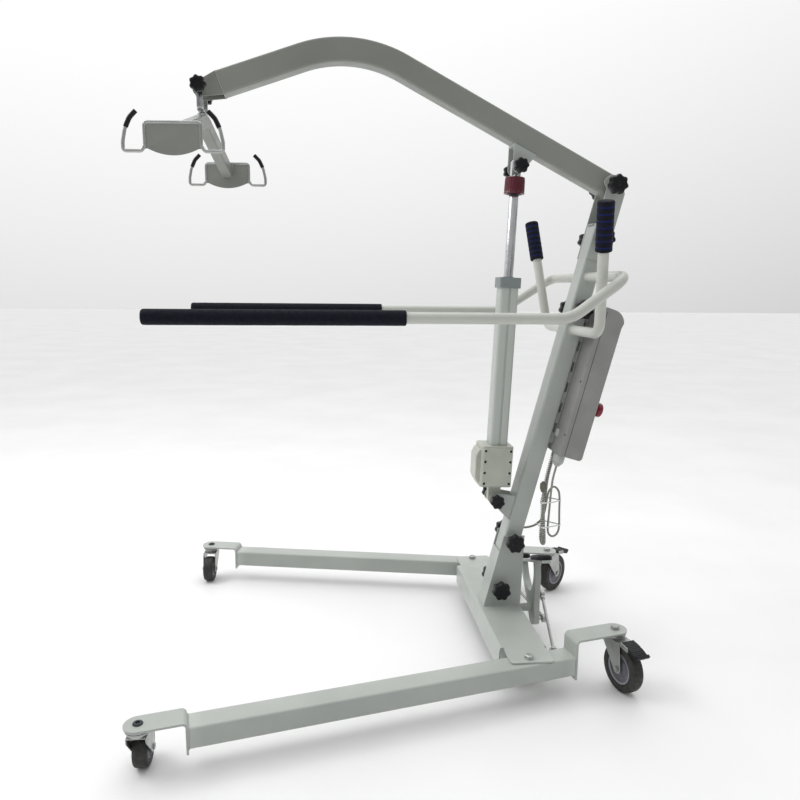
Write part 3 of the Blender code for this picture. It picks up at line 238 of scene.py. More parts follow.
def bent(corners, radii, steps=5):
    """A route through corner points, each corner rounded by an arc of its own radius."""
    corners = [Vector(c) for c in corners]
    route = [corners[0]]
    for before, corner, after, radius in zip(corners, corners[1:], corners[2:], radii):
        to_back, to_front = (before - corner).normalized(), (after - corner).normalized()
        half = to_back.angle(to_front) / 2
        centre = corner + (to_back + to_front).normalized() * radius / math.sin(half)
        start = corner + to_back * radius / math.tan(half) - centre
        end = corner + to_front * radius / math.tan(half) - centre
        sweep = start.angle(end)
        for i in range(steps + 1):
            t = i / steps
            mix = (start * math.sin((1 - t) * sweep) + end * math.sin(t * sweep)) / math.sin(sweep)
            route.append(centre + mix)
    return route + [corners[-1]]


def swept(route, outer, inner=None, side=(0.0, 1.0, 0.0)):
    """Carries a section along a route; with an inner outline it is a tube open at both ends."""
    route = [Vector(p) for p in route]
    across = Vector(side)
    loops = []
    for i, point in enumerate(route):
        ahead = route[min(i + 1, len(route) - 1)] - point
        behind = point - route[max(i - 1, 0)]
        along = (ahead.normalized() + behind.normalized()).normalized()
        stretch = 1.0
        if ahead.length > 0 and behind.length > 0:
            stretch = 1 / max(0.5, math.cos(ahead.angle(behind) / 2))
            bend_out = ahead.normalized() - behind.normalized()
        across = (across - along * across.dot(along)).normalized()
        up = along.cross(across)
        for outline in (outer, inner) if inner else (outer,):
            ring = []
            for a, b in outline:
                offset = across * a + up * b
                if stretch > 1.0001:
                    out = bend_out.normalized()
                    offset += out * offset.dot(out) * (stretch - 1)
                ring.append(tuple(point + offset))
            loops.append(ring)
    count = len(outer)
    points = [p for ring in loops for p in ring]
    per = 2 if inner else 1
    last = (len(route) - 1) * per
    faces = []
    for i in range(len(route) - 1):
        for layer in range(per):
            faces += band((i * per + layer) * count, ((i + 1) * per + layer) * count, count)
    for end in (0, last * count):
        if inner:
            faces += band(end, end + count, count)
        else:
            faces.append(tuple(range(end, end + count)))
    return points, faces


def strip(route, normals, half_widths, thickness):
    """A bent plate: stations in the XZ plane, each with its own half width across Y."""
    rings = []
    for (x, z), (nx, nz), half in zip(route, normals, half_widths):
        for across, out in ((-half, -0.5), (half, -0.5), (half, 0.5), (-half, 0.5)):
            rings.append((x + nx * out * thickness, across, z + nz * out * thickness))
    faces = []
    for i in range(len(route) - 1):
        faces += band(4 * i, 4 * i + 4, 4)
    end = 4 * (len(route) - 1)
    faces += [(0, 1, 2, 3), (end, end + 1, end + 2, end + 3)]
    return rings, faces



# ---------------------------------------------------------------- frames at rest, one for each group of pieces
def turn(axis, degrees):
    """A turn about an axis, as a matrix."""
    return Matrix.Rotation(math.radians(degrees), 4, axis)


def shift(x, y, z):
    """A shift, as a matrix."""
    return Matrix.Translation((x, y, z))


BASE = shift(PIVOT_X, 0.0, 0.0)
MAST = BASE @ shift(*MAST_FOOT) @ turn("Y", MAST_LEAN)
BOOM = BASE @ shift(*BOOM_PIVOT)
HANGER = BASE @ shift(*TIP_PIN)
SPREADER = HANGER @ shift(0.0, 0.0, -APEX_DROP) @ turn("Z", SPREADER_TURN)
ACTUATOR_LINE = Vector(UPPER_PIN) - Vector(LOWER_PIN)
ACTUATOR_LENGTH = ACTUATOR_LINE.length
ACTUATOR = BASE @ shift(*LOWER_PIN) @ turn("Y", math.degrees(math.atan2(ACTUATOR_LINE.x, ACTUATOR_LINE.z)))
ROD = ACTUATOR @ shift(0.0, 0.0, ACTUATOR_LENGTH)
PEDAL = BASE @ shift(*PEDAL_PIVOT) @ turn("X", PEDAL_TILT)
SIDES = (("left", -1), ("right", 1))


def leg_frame(sign):
    """The frame of one leg, on its pivot."""
    return shift(PIVOT_X, sign * PIVOT_Y, 0.0) @ turn("Z", -sign * LEG_SPLAY)


# ---------------------------------------------------------------- materials
class Nodes:
    """A material's node tree, with short calls for the nodes that the looks share."""

    def __init__(self, name):
        self.material = bpy.data.materials.new(name)
        self.material.use_nodes = True
        self.tree = self.material.node_tree
        self.shader = self.tree.nodes["Principled BSDF"]
        self.place = self.tree.nodes.new("ShaderNodeTexCoord").outputs["Object"]

    def fill(self, node, **values):
        """Gives a node's inputs their numbers, colours or links; a name's spaces are written as underscores."""
        for name, value in values.items():
            socket = node.inputs[name.replace("_", " ")]
            if isinstance(value, (int, float)):
                socket.default_value = value
            elif isinstance(value, tuple):
                socket.default_value = (*value, 1.0) if socket.type == "RGBA" else value
            else:
                self.tree.links.new(value, socket)

    def add(self, kind, **values):
        """A new node with its inputs filled."""
        node = self.tree.nodes.new("ShaderNode" + kind)
        self.fill(node, **values)
        return node

    def noise(self, scale, detail=3.0, roughness=0.5, stretch=None):
        """Cloudy noise, drawn out along an axis where stretch says so."""
        place = self.place
        if stretch:
            place = self.add("Mapping", Scale=stretch, Vector=place).outputs["Vector"]
        values = dict(Scale=scale, Detail=detail, Roughness=roughness, Vector=place)
        return self.add("TexNoise", **values).outputs["Fac"]

    def cells(self, scale):
        """Small round cells."""
        return self.add("TexVoronoi", Scale=scale, Vector=self.place).outputs["Distance"]

    def ramp(self, source, low, high, from_low=0.35, from_high=0.65):
        """Carries a value from one range to another."""
        values = dict(From_Min=from_low, From_Max=from_high, To_Min=low, To_Max=high, Value=source)
        return self.add("MapRange", **values).outputs["Result"]

    def mix(self, factor, first, second):
        """A blend of two colours."""
        node = self.tree.nodes.new("ShaderNodeMix")
        node.data_type = "RGBA"
        self.fill(node, Factor=factor)
        for socket, value in ((node.inputs[6], first), (node.inputs[7], second)):
            if isinstance(value, tuple):
                socket.default_value = (*value, 1.0)
            else:
                self.tree.links.new(value, socket)
        return node.outputs[2]

    def bump(self, height, strength, distance, under=None):
        """A raised grain, laid over another one where there is one."""
        node = self.add("Bump", Strength=strength, Distance=distance, Height=height)
        if under:
            self.fill(node, Normal=under)
        return node.outputs["Normal"]

    def edge(self):
        """1 on sharp outer edges, 0 elsewhere: where handling wears a finish."""
        return self.ramp(self.add("NewGeometry").outputs["Pointiness"], 0.0, 1.0, 0.53, 0.60)

    def set(self, **values):
        """Fills the surface's own inputs and hands over the finished material."""
        self.fill(self.shader, **values)
        return self.material


def shade(colour, factor):
    """A colour made lighter or darker."""
    return tuple(min(1.0, c * factor) for c in colour)


def powder_coat(name, colour):
    """Sprayed and baked paint: an orange-peel skin, faint clouding, a few rubbed places."""
    n = Nodes(name)
    cloud = n.ramp(n.noise(7.0, 4.0), 0.0, 1.0)
    base = n.mix(cloud, shade(colour, 0.95), shade(colour, 1.04))
    rubbed = n.ramp(n.noise(38.0, 6.0, 0.7), 0.0, 0.35, 0.60, 0.75)
    base = n.mix(rubbed, base, shade(colour, 0.86))
    base = n.mix(n.edge(), base, shade(colour, 1.18))
    peel = n.bump(n.noise(520.0, 2.0), 0.16, 0.0006)
    wave = n.bump(n.noise(60.0, 2.0), 0.10, 0.0010, peel)
    rough = n.ramp(n.noise(24.0, 5.0, 0.6), 0.30, 0.46)
    return n.set(Base_Color=base, Roughness=rough, Normal=wave, Coat_Weight=0.15, Coat_Roughness=0.25)


def plated(name, colour, rough_low, rough_high, stretch=None):
    """Plated steel: a clouded tint, fine lines from working and small rub marks."""
    n = Nodes(name)
    cloud = n.ramp(n.noise(30.0, 5.0, 0.6), 0.0, 1.0)
    base = n.mix(cloud, shade(colour, 0.88), shade(colour, 1.08))
    lines = n.noise(260.0, 4.0, 0.6, stretch or (1.0, 1.0, 0.12))
    rough = n.ramp(n.noise(70.0, 6.0, 0.7), rough_low, rough_high)
    return n.set(Base_Color=base, Metallic=1.0, Roughness=rough, Normal=n.bump(lines, 0.08, 0.0004))


def moulded(name, colour, rough_low, rough_high, grain=900.0, depth=0.12, shine=0.5):
    """Injection-moulded plastic with a spark-eroded grain."""
    n = Nodes(name)
    cloud = n.ramp(n.noise(14.0, 4.0), 0.0, 1.0)
    base = n.mix(cloud, shade(colour, 0.92), shade(colour, 1.08))
    base = n.mix(n.edge(), base, shade(colour, 1.35))
    skin = n.bump(n.noise(grain, 3.0), depth, 0.0005)
    rough = n.ramp(n.noise(45.0, 5.0, 0.6), rough_low, rough_high)
    return n.set(Base_Color=base, Roughness=rough, Normal=skin, Specular_IOR_Level=shine)


def foam_look(name, colour):
    """Closed-cell foam: tiny open cells on a soft, dull, faintly dusty skin."""
    n = Nodes(name)
    dust = n.ramp(n.noise(55.0, 6.0, 0.7), 0.0, 0.6)
    base = n.mix(dust, colour, shade(colour, 1.5))
    cells = n.bump(n.cells(750.0), 0.45, 0.0006)
    soft = n.bump(n.noise(40.0, 3.0), 0.18, 0.0015, cells)
    rough = n.ramp(n.noise(120.0, 4.0), 0.72, 0.92)
    return n.set(Base_Color=base, Roughness=rough, Normal=soft, Sheen_Weight=0.04, Sheen_Roughness=0.5,
                 Specular_IOR_Level=0.15)


def rubber_look(name, colour, dust_colour):
    """Tyre rubber, greyed by floor dust on the tread."""
    n = Nodes(name)
    dust = n.ramp(n.noise(65.0, 7.0, 0.75), 0.0, 0.55, 0.42, 0.72)
    base = n.mix(dust, colour, dust_colour)
    skin = n.bump(n.noise(420.0, 4.0), 0.25, 0.0006)
    rough = n.ramp(n.noise(90.0, 4.0), 0.50, 0.72)
    return n.set(Base_Color=base, Roughness=rough, Normal=skin)


LOOKS = {
    "frame_paint": powder_coat("frame_paint_look", (0.390, 0.415, 0.388)),
    # the frame's grey-green paint darkened to about 0.58 of its value: a painted-shade copy, used on the boom, spreader
    # beam and hook plates
    "boom_paint": powder_coat("boom_paint_look", (0.225, 0.235, 0.212)),
    "tube_paint": powder_coat("tube_paint_look", (0.49, 0.50, 0.46)),
    "weld": powder_coat("weld_look", (0.36, 0.385, 0.365)),
    "zinc": plated("zinc_look", (0.43, 0.44, 0.43), 0.34, 0.50),
    "chrome": plated("chrome_look", (0.60, 0.61, 0.63), 0.16, 0.27, (1.0, 1.0, 0.05)),
    "black_plastic": moulded("black_plastic_look", (0.006, 0.006, 0.008), 0.34, 0.50, shine=0.28),
    "black_steel": plated("black_steel_look", (0.05, 0.055, 0.06), 0.30, 0.45),
    "tyre_rubber": rubber_look("tyre_look", (0.016, 0.016, 0.015), (0.055, 0.052, 0.042)),
    "hub_plastic": moulded("hub_look", (0.115, 0.115, 0.135), 0.32, 0.48),
    "hub_ring": moulded("hub_ring_look", (0.26, 0.26, 0.28), 0.32, 0.48),
    "foam": foam_look("foam_look", (0.006, 0.007, 0.013)),
    "foam_blue": foam_look("foam_blue_look", (0.006, 0.014, 0.105)),
    "cream_plastic": moulded("cream_plastic_look", (0.44, 0.455, 0.40), 0.34, 0.50),
    "grey_plastic": moulded("grey_plastic_look", (0.20, 0.225, 0.23), 0.34, 0.50),
    "box_plastic": moulded("box_plastic_look", (0.27, 0.27, 0.26), 0.42, 0.58, 700.0, 0.3),
    "gland_plastic": moulded("gland_look", (0.42, 0.44, 0.43), 0.40, 0.55),
    "maroon_plastic": moulded("maroon_look", (0.095, 0.006, 0.016), 0.22, 0.36),
    "red_plastic": moulded("red_look", (0.21, 0.006, 0.022), 0.22, 0.34),
    "cable_grey": moulded("cable_look", (0.27, 0.27, 0.235), 0.42, 0.60, 500.0, 0.2),
    "coil_grey": moulded("coil_look", (0.34, 0.345, 0.32), 0.40, 0.58, 500.0, 0.2),
    "tie_white": moulded("tie_look", (0.72, 0.74, 0.72), 0.35, 0.50),
    "plug_brown": moulded("plug_look", (0.13, 0.115, 0.085), 0.42, 0.58),
}


# ---------------------------------------------------------------- building a piece
def to_mesh(name, shape, looks=("frame_paint",), face_look=None):
    mesh = bpy.data.meshes.new(name)
    built = bmesh.new()
    points = [built.verts.new(p) for p in shape[0]]
    for number, face in enumerate(shape[1]):
        made = built.faces.new([points[i] for i in face])
        if face_look:
            made.material_index = face_look(number)
    bmesh.ops.recalc_face_normals(built, faces=built.faces)
    built.to_mesh(mesh)
    built.free()
    for look in looks:
        mesh.materials.append(LOOKS[look])
    return mesh


def add_object(name, mesh, matrix=None):
    obj = bpy.data.objects.new(name, mesh)
    bpy.context.scene.collection.objects.link(obj)
    if matrix:
        obj.data.transform(matrix)
    return obj


def apply_booleans(obj, matrix, adds, cuts):
    """Joins and cuts with other shapes, and leaves the result as the object's own mesh."""
    tools = []
    for operation, shapes in (("UNION", adds), ("DIFFERENCE", cuts)):
        for number, tool_shape in enumerate(shapes):
            name = f"{obj.name}_{operation.lower()}_{number}"
            tool = add_object(name, to_mesh(name, tool_shape), matrix)
            step = obj.modifiers.new(name, "BOOLEAN")
            step.operation = operation
            step.solver = "EXACT"
            step.object = tool
            tools.append(tool)
    if not tools:
        return
    graph = bpy.context.evaluated_depsgraph_get()
    done = bpy.data.meshes.new_from_object(obj.evaluated_get(graph))
    obj.modifiers.clear()
    obj.data = done
    for tool in tools:
        bpy.data.objects.remove(tool, do_unlink=True)


def finish_surface(obj, bevel=0.0, steps=2, sharp=32.0):
    if bevel:
        weld = obj.modifiers.new("weld", "WELD")
        weld.merge_threshold = 0.00001
        edge = obj.modifiers.new("edges", "BEVEL")
        edge.width = bevel
        edge.segments = steps
        edge.limit_method = "ANGLE"
        edge.angle_limit = math.radians(sharp)
        edge.use_clamp_overlap = True
        obj.data.shade_smooth()
        normals = obj.modifiers.new("normals", "WEIGHTED_NORMAL")
        normals.keep_sharp = True
    else:
        obj.data.shade_smooth()
        obj.data.set_sharp_from_angle(angle=math.radians(sharp))


def piece(name, shape, look, matrix, body, nodes=(), adds=(), cuts=(), bevel=0.0, steps=2, sharp=32.0):
    """One visible piece, riding on its CAD body in place of the CAD nodes that it stands for."""
    looks = (look,) if isinstance(look, str) else look
    obj = add_object(name, to_mesh(name, shape, looks), matrix)
    apply_booleans(obj, matrix, adds, cuts)
    finish_surface(obj, bevel, steps, sharp)
    if nodes:
        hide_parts(*nodes)
    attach(obj, body)
    return obj


def cylinder(radius, low, high, axis, at=(0.0, 0.0, 0.0), steps=32):
    return moved(turned([(radius, low), (radius, high)], steps, axis), at)


def rounded_disc(radius, low, high, edge, steps=48, axis="Z"):
    """A disc with rounded rims."""
    way = math.copysign(edge, high - low)
    profile = [(radius - edge, low), (radius - 0.3 * edge, low + 0.3 * way), (radius, low + way)]
    profile += [(radius, high - way), (radius - 0.3 * edge, high - 0.3 * way), (radius - edge, high)]
    return turned(profile, steps, axis)


def weld_bead(name, route, radius, matrix, body, closed=False, seed=0):
    """A run of weld: a lumpy rope of metal laid in a corner, painted over."""
    route = [Vector(p) for p in route]
    dense = []
    spans = list(zip(route, route[1:] + route[:1])) if closed else list(zip(route, route[1:]))
    for a, b in spans:
        count = max(1, round((b - a).length / (radius * 0.7)))
        dense += [a.lerp(b, i / count) for i in range(count)]
    dense.append(route[0] if closed else route[-1])
    shape = swept(dense, circle(radius, 8), side=(0.31, 0.52, 0.79))
    points = []
    for number, point in enumerate(shape[0]):
        centre = dense[number // 8]
        ripple = 1 + 0.16 * math.sin(number // 8 * 1.9) + 0.12 * noise.noise((number // 8 * 0.37, seed, 0.0))
        points.append(tuple(centre + (Vector(point) - centre) * ripple))
    return piece(name, (points, shape[1]), "weld", matrix, body, sharp=60.0)


# ---------------------------------------------------------------- knobs and bolts
def knob_shape(radius, seat, height, sign):
    outline = star(radius, per_lobe=12)
    count = len(outline)

    def scaled(factor):
        return [(a * factor, b * factor) for a, b in outline]

    rings = [
        (seat, circle(radius * 0.42, count)),
        (seat + height * 0.32, circle(radius * 0.42, count)),
        (seat + height * 0.37, circle(radius * 0.50, count)),
        (seat + height * 0.385, star(radius * 0.84, per_lobe=12, depth=0.12)),
        (seat + height * 0.42, scaled(0.94)),
        (seat + height * 0.50, scaled(0.995)),
        (seat + height * 0.62, scaled(1.0)),
        (seat + height * 0.82, scaled(1.0)),
        (seat + height * 0.91, scaled(0.975)),
        (seat + height * 0.97, scaled(0.90)),
        (seat + height * 1.00, scaled(0.78)),
        (seat + height * 1.00, circle(radius * 0.46, count)),
        (seat + height * 0.965, circle(radius * 0.43, count)),
        (seat + height * 0.955, circle(radius * 0.24, count)),
        (seat + height * 0.975, circle(radius * 0.20, count)),
    ]
    return stacked([(sign * h, ring) for h, ring in rings], "Y")


def knob_set(node, matrix, body, at, radius, seat, height, bolt_r, sides=SIDES, bolt=True):
    for side, sign in sides:
        nodes = (node,) if side == sides[0][0] else ()
        piece(f"{node}_{side}", moved(knob_shape(radius, seat + 0.0012, height - 0.0012, sign), at),
              "black_plastic", matrix, body, nodes, sharp=38.0)
        washer = rounded_disc(bolt_r * 2.1, sign * seat, sign * (seat + 0.0014), 0.0003, 32, "Y")
        piece(f"{node}_washer_{side}", moved(washer, at), "zinc", matrix, body)
    if bolt:
        piece(f"{node}_bolt", moved(cylinder(bolt_r, -seat, seat, "Y"), at), "zinc", matrix, body)


def hex_bolt(name, matrix, body, low, flats, height, nodes=()):
    """A flanged washer and a hexagon head with a rounded crown."""
    rings = [(low, hexagon(flats)), (low + height * 0.72, hexagon(flats))]
    rings += [(low + height * 0.88, circle(flats * 0.46, 12)), (low + height, circle(flats * 0.34, 12))]
    piece(name, stacked(rings), "zinc", matrix, body, nodes, bevel=0.0004)
    washer = rounded_disc(flats * 0.62, low, low + height * 0.16, 0.0004, 40)
    piece(f"{name}_washer", washer, "zinc", matrix, body)


# ---------------------------------------------------------------- base
def bracket_shape(tube_end, foot_z, top_z, hole_at):
    sign = 1.0 if hole_at > tube_end else -1.0
    half_sheet = BRACKET_SHEET / 2
    upright = tube_end + sign * (GAP + half_sheet)
    flange = top_z - half_sheet
    bend = 0.010
    route = [(upright, foot_z)]
    normals = [(sign, 0.0)]
    for step in range(13):
        angle = math.radians(90 * step / 12)
        route.append((upright + sign * bend * (1 - math.cos(angle)), flange - bend * (1 - math.sin(angle))))
        normals.append((sign * math.cos(angle), -math.sin(angle)))
    halves = [LEG_WIDTH / 2] * len(route)
    for step in range(25):
        angle = math.radians(86 * step / 24)
        route.append((hole_at + sign * BRACKET_TIP * math.sin(angle), flange))
        normals.append((0.0, -1.0))
        halves.append(BRACKET_TIP * math.cos(angle))
    return strip(route, normals, halves, BRACKET_SHEET)


def tube_outline(width, height, radius, level, x):
    """The ring round a tube's end, for a weld."""
    return [(x, a, level + b) for a, b in rounded_rectangle(width, height, radius, 4)]


def make_leg(side, sign):
    matrix, body = leg_frame(sign), f"{side}_leg_assembly"
    middle_z = LEG_TOP - LEG_DEPTH / 2
    outer = rounded_rectangle(LEG_WIDTH, LEG_DEPTH, 0.006, 8)
    inner = rounded_rectangle(LEG_WIDTH - 2 * WALL, LEG_DEPTH - 2 * WALL, 0.0035, 8)
    stations = [(LEG_FRONT + (LEG_REAR - LEG_FRONT) * i / 30, 0.0, middle_z) for i in range(31)]
    piece(f"{side}_leg_tube", swept(stations, outer, inner), "frame_paint", matrix, body, (f"{side}_leg",))
    inward = -sign
    lug_y = sorted((inward * (LEG_WIDTH / 2 - 0.001), inward * 0.056))
    lug = block((0.085, lug_y[0], 0.078), (0.110, lug_y[1], 0.082))
    piece(f"{side}_leg_lug", lug, "frame_paint", matrix, body, bevel=0.0008)
    stud = [(0.004, 0.080), (0.004, 0.0965), (0.0068, 0.0965), (0.0068, 0.0995), (0.0045, 0.1000)]
    piece(f"{side}_leg_stud", moved(turned(stud, 24), (0.0975, inward * 0.045, 0.0)), "zinc", matrix, body)
    for end, caster, tube_end, rise in (
        ("front", FRONT_CASTER, LEG_FRONT, 0.013),
        ("rear", REAR_CASTER, LEG_REAR, 0.045),
    ):
        top = LEG_TOP + rise
        piece(f"{side}_{end}_plate", bracket_shape(tube_end, 0.044, top, caster["along"]), "frame_paint",
              matrix, body, (f"{side}_{end}_bracket",), bevel=0.0011, steps=3)
        out = 1.0 if end == "rear" else -1.0
        seam = tube_end - out * 0.0004
        ring = tube_outline(LEG_WIDTH + 0.0006, LEG_DEPTH + 0.0006, 0.006, middle_z, seam)
        weld_bead(f"{side}_{end}_weld", ring, 0.0016, matrix, body, True, sign)
        if end == "rear":
            bolt = turned([(0.0, 0.0), (0.0055, 0.0), (0.0055, 0.004), (0.0040, 0.0055)], 24, "X")
            at = (LEG_REAR + GAP + BRACKET_SHEET, 0.0, middle_z)
            piece(f"{side}_rear_plug_screw", moved(bolt, at), "zinc", matrix, body)
        make_caster(f"{side}_{end}", side, end, matrix, caster, top)


def make_caster(name, side, end, leg, caster, bracket_top):
    leg_turn = math.degrees(leg.to_euler().z)
    heading = CASTER_HEADING[name] - leg_turn
    swivel = leg @ shift(caster["along"], 0.0, caster["height"]) @ turn("Z", heading)
    body = f"{name}_swivel"
    radius, width, trail, race = caster["radius"], caster["width"], caster["trail"], caster["race"]
    rear = end == "rear"
    axle_z = radius - caster["height"]
    crown = -0.0130 if rear else -0.0150
    inside = width / 2 + 0.003
    outside = inside + 0.0025
    outline = [(-0.022, crown), (-0.0225, crown - 0.005), (-0.0205, crown - 0.014)]
    outline += arc((trail, axle_z), 0.0130, 202, 352, 20)
    outline += [(trail + 0.0105, axle_z + 0.35 * (crown - axle_z)), (trail + 0.006, crown - 0.012)]
    outline += [(trail + 0.004, crown)]
    fork = prism(outline, 2 * outside)
    channel = block((-0.1, -inside, axle_z - 0.1), (0.2, inside, crown - 0.0025))
    piece(f"{name}_fork_shell", fork, "zinc", swivel, body, (f"{name}_fork",), cuts=[channel], bevel=0.0012, steps=3)
    lower = rounded_disc(race - 0.0035, crown - 0.0002, -0.0088, 0.0012, 64)
    piece(f"{name}_race_lower", lower, "zinc", swivel, body)
    grooved = [
        (race - 0.004, -0.0090), (race - 0.001, -0.0084), (race, -0.0070), (race - 0.0003, -0.0056),
        (race - 0.0026, -0.0050), (race - 0.0026, -0.0044), (race - 0.0002, -0.0038), (race, -0.0022),
        (race - 0.0008, -0.0009), (race - 0.004, -0.0004),
    ]
    piece(f"{name}_race_upper", turned(grooved, 72), "zinc", swivel, body, sharp=50.0)
    head = bracket_top - caster["height"] + GAP + 0.0001
    if rear:
        hex_bolt(f"{name}_stem_bolt", swivel, body, head, 0.019, 0.0095)
    else:
        socket = [
            (0.0105, head), (0.0108, head + 0.0012), (0.0098, head + 0.0026), (0.0068, head + 0.0032),
            (0.0046, head + 0.0032), (0.0042, head + 0.0010), (0.0, head + 0.0008),
        ]
        piece(f"{name}_stem_bolt", turned(socket, 48), "black_steel", swivel, body)
    axle = swivel @ shift(trail, 0.0, axle_z)
    for sign in (-1, 1):
        nut = [(sign * outside, hexagon(0.0125)), (sign * (outside + 0.0032), hexagon(0.0125))]
        nut += [(sign * (outside + 0.0040), circle(0.0046, 12))]
        piece(f"{name}_axle_nut_{sign + 1}", stacked(nut, "Y"), "zinc", axle, body, bevel=0.0003)
    piece(f"{name}_axle_pin", cylinder(0.0040, -outside, outside, "Y"), "zinc", axle, body)
    make_wheel(name, axle, radius, width, rear)
    if rear:
        make_brake(name, side, swivel)


def make_wheel(name, axle, radius, width, rear):
    body = f"{name}_roller"
    half = width / 2
    hub_r = radius * (0.70 if rear else 0.62)
    tread = []
    for step in range(-12, 13):
        angle = math.radians(90 * step / 12)
        corner = math.copysign(1.0, math.sin(angle)) * abs(math.sin(angle)) ** 0.62 if step else 0.0
        tread.append((radius - 0.0085 * (1 - abs(math.cos(angle)) ** 0.62), half * corner))
    profile = [(hub_r, -half + 0.0006)] + tread + [(hub_r, half - 0.0006)]
    profile += [(hub_r - 0.001, half - 0.003), (hub_r - 0.001, -half + 0.003)]
    piece(f"{name}_tyre", ring_turned(profile, 96, "Y"), "tyre_rubber", axle, body, (f"{name}_wheel",), sharp=55.0)
    rim = hub_r - 0.0013
    side = [
        (rim, half - 0.0045), (rim - 0.0008, half - 0.0012), (rim - 0.0035, half - 0.0012),
        (rim - 0.0045, half - 0.0040), (rim * 0.52, half - 0.0065), (rim * 0.46, half - 0.0040),
        (rim * 0.36, half - 0.0030), (0.0105, half - 0.0030), (0.0100, half + 0.0018), (0.0044, half + 0.0018),
    ]
    profile = side + [(r, -h) for r, h in reversed(side)]
    piece(f"{name}_hub", ring_turned(profile, 72, "Y"), "hub_plastic", axle, body, sharp=40.0)
    if rear:
        for sign in (-1, 1):
            ring = [
                (rim - 0.0062, sign * (half - 0.0036)), (rim - 0.0058, sign * (half - 0.0020)),
                (rim - 0.0036, sign * (half - 0.0014)), (rim - 0.0034, sign * (half - 0.0040)),
            ]
            piece(f"{name}_rim_{sign + 1}", ring_turned(ring, 72, "Y"), "hub_ring", axle, body)


def make_brake(name, side, swivel):
    """The ribbed foot pedal of a rear caster's lock, and the two riveted links that carry it."""
    body = f"{side}_rear_brake"
    matrix = swivel @ shift(0.047, 0.0, -0.0125)
    outline = [
        (0.000, -0.0045), (0.015, -0.0060), (0.037, -0.0110), (0.056, -0.0180), (0.063, -0.0130),
        (0.067, -0.0070), (0.061, -0.0030), (0.054, -0.0070),
    ]
    top = [(0.038, -0.0008), (0.015, 0.0030), (0.000, 0.0036)]
    ribbed = []
    for (x0, z0), (x1, z1) in zip([(0.054, -0.0070)] + top, top):
        count = max(2, round(abs(x1 - x0) / 0.0028))
        for i in range(1, count + 1):
            t = i / count
            lift = 0.0011 if i % 2 else 0.0
            ribbed.append((x0 + (x1 - x0) * t, z0 + (z1 - z0) * t + lift))
    piece(f"{name}_brake_tread", prism(outline + ribbed, 0.038), "black_plastic", matrix, body,
          (f"{name}_brake_pedal",), bevel=0.0005)
    for sign in (-1, 1):
        y = sign * 0.0197
        link = arc((0.004, 0.0), 0.0062, 100, 260, 10) + arc((0.024, -0.0035), 0.0062, 280, 440, 10)
        piece(f"{name}_brake_link_{sign + 1}", prism(link, 0.0016, "Y", y), "zinc", matrix, body, bevel=0.0004)
        for number, at in enumerate(((0.004, 0.0), (0.024, -0.0035))):
            rivet = turned([(0.0026, 0.0), (0.0024, sign * 0.0008), (0.0012, sign * 0.0013)], 20, "Y")
            place = (at[0], y + sign * 0.0008, at[1])
            piece(f"{name}_brake_rivet_{sign + 1}_{number}", moved(rivet, place), "zinc", matrix, body)


def make_cross_member():
    edge, top, foot = CROSS_HALF_X, CROSS_TOP, FLANGE_FOOT_Z
    outer_r, inner_r = 0.009, 0.005
    outline = [(-edge, foot)]
    outline += arc((-edge + outer_r, top - outer_r), outer_r, 180, 90, 10)
    outline += arc((edge - outer_r, top - outer_r), outer_r, 90, 0, 10)
    outline += [(edge, foot), (edge - SHEET, foot)]
    outline += arc((edge - outer_r, top - outer_r), inner_r, 0, 90, 8)
    outline += arc((-edge + outer_r, top - outer_r), inner_r, 90, 180, 8)
    outline += [(-edge + SHEET, foot)]
    front, rear, end, r = -0.052, 0.060, TONGUE_END_Y, 0.010
    tongue = arc((rear - r, end - r), r, 0, 90, 10) + arc((front + r, end - r), r, 90, 180, 10)
    tongue += arc((front + r, -end + r), r, 180, 270, 10) + arc((rear - r, -end + r), r, 270, 360, 10)
    plate = prism(tongue, SHEET, "Z", top - SHEET / 2)
    cuts = []
    for sign in (-1, 1):
        for x in (front - 0.004, rear + 0.0015):
            cuts.append(cylinder(0.0055, top - 0.02, top + 0.01, "Z", (x, sign * CROSS_HALF_Y, 0.0)))
    piece("cross_channel", prism(outline, 2 * CROSS_HALF_Y), "frame_paint", BASE, "frame", ("cross_member",),
          adds=[plate], cuts=cuts, bevel=0.0006)
    for side, sign in SIDES:
        head = BASE @ shift(0.0, sign * PIVOT_Y, 0.0)
        hex_bolt(f"{side}_pivot_head", head, "frame", CROSS_TOP + GAP, 0.019, 0.0100, (f"{side}_pivot_bolt",))
        piece(f"{side}_pivot_shank", cylinder(0.006, LEG_TOP - LEG_DEPTH - 0.010, CROSS_TOP, "Z"), "zinc", head, "frame")
        nut = [(LEG_TOP - LEG_DEPTH - 0.0095, hexagon(0.019)), (LEG_TOP - LEG_DEPTH - 0.0006, hexagon(0.019))]
        piece(f"{side}_pivot_nut", stacked(nut), "zinc", head, "frame", bevel=0.0006)


def mast_point(behind, along):
    lean = math.radians(MAST_LEAN)
    x = MAST_FOOT[0] + along * math.sin(lean) + behind * math.cos(lean)
    z = MAST_FOOT[2] + along * math.cos(lean) - behind * math.sin(lean)
    return x, z


def on_line(behind, z):
    lean = math.radians(MAST_LEAN)
    x, z0 = mast_point(behind, 0.0)
    return x + (z - z0) * math.tan(lean)


def mast_local(point):
    lean = math.radians(MAST_LEAN)
    dx, dz = point[0] - MAST_FOOT[0], point[1] - MAST_FOOT[2]
    return dx * math.cos(lean) - dz * math.sin(lean), 0.0, dx * math.sin(lean) + dz * math.cos(lean)


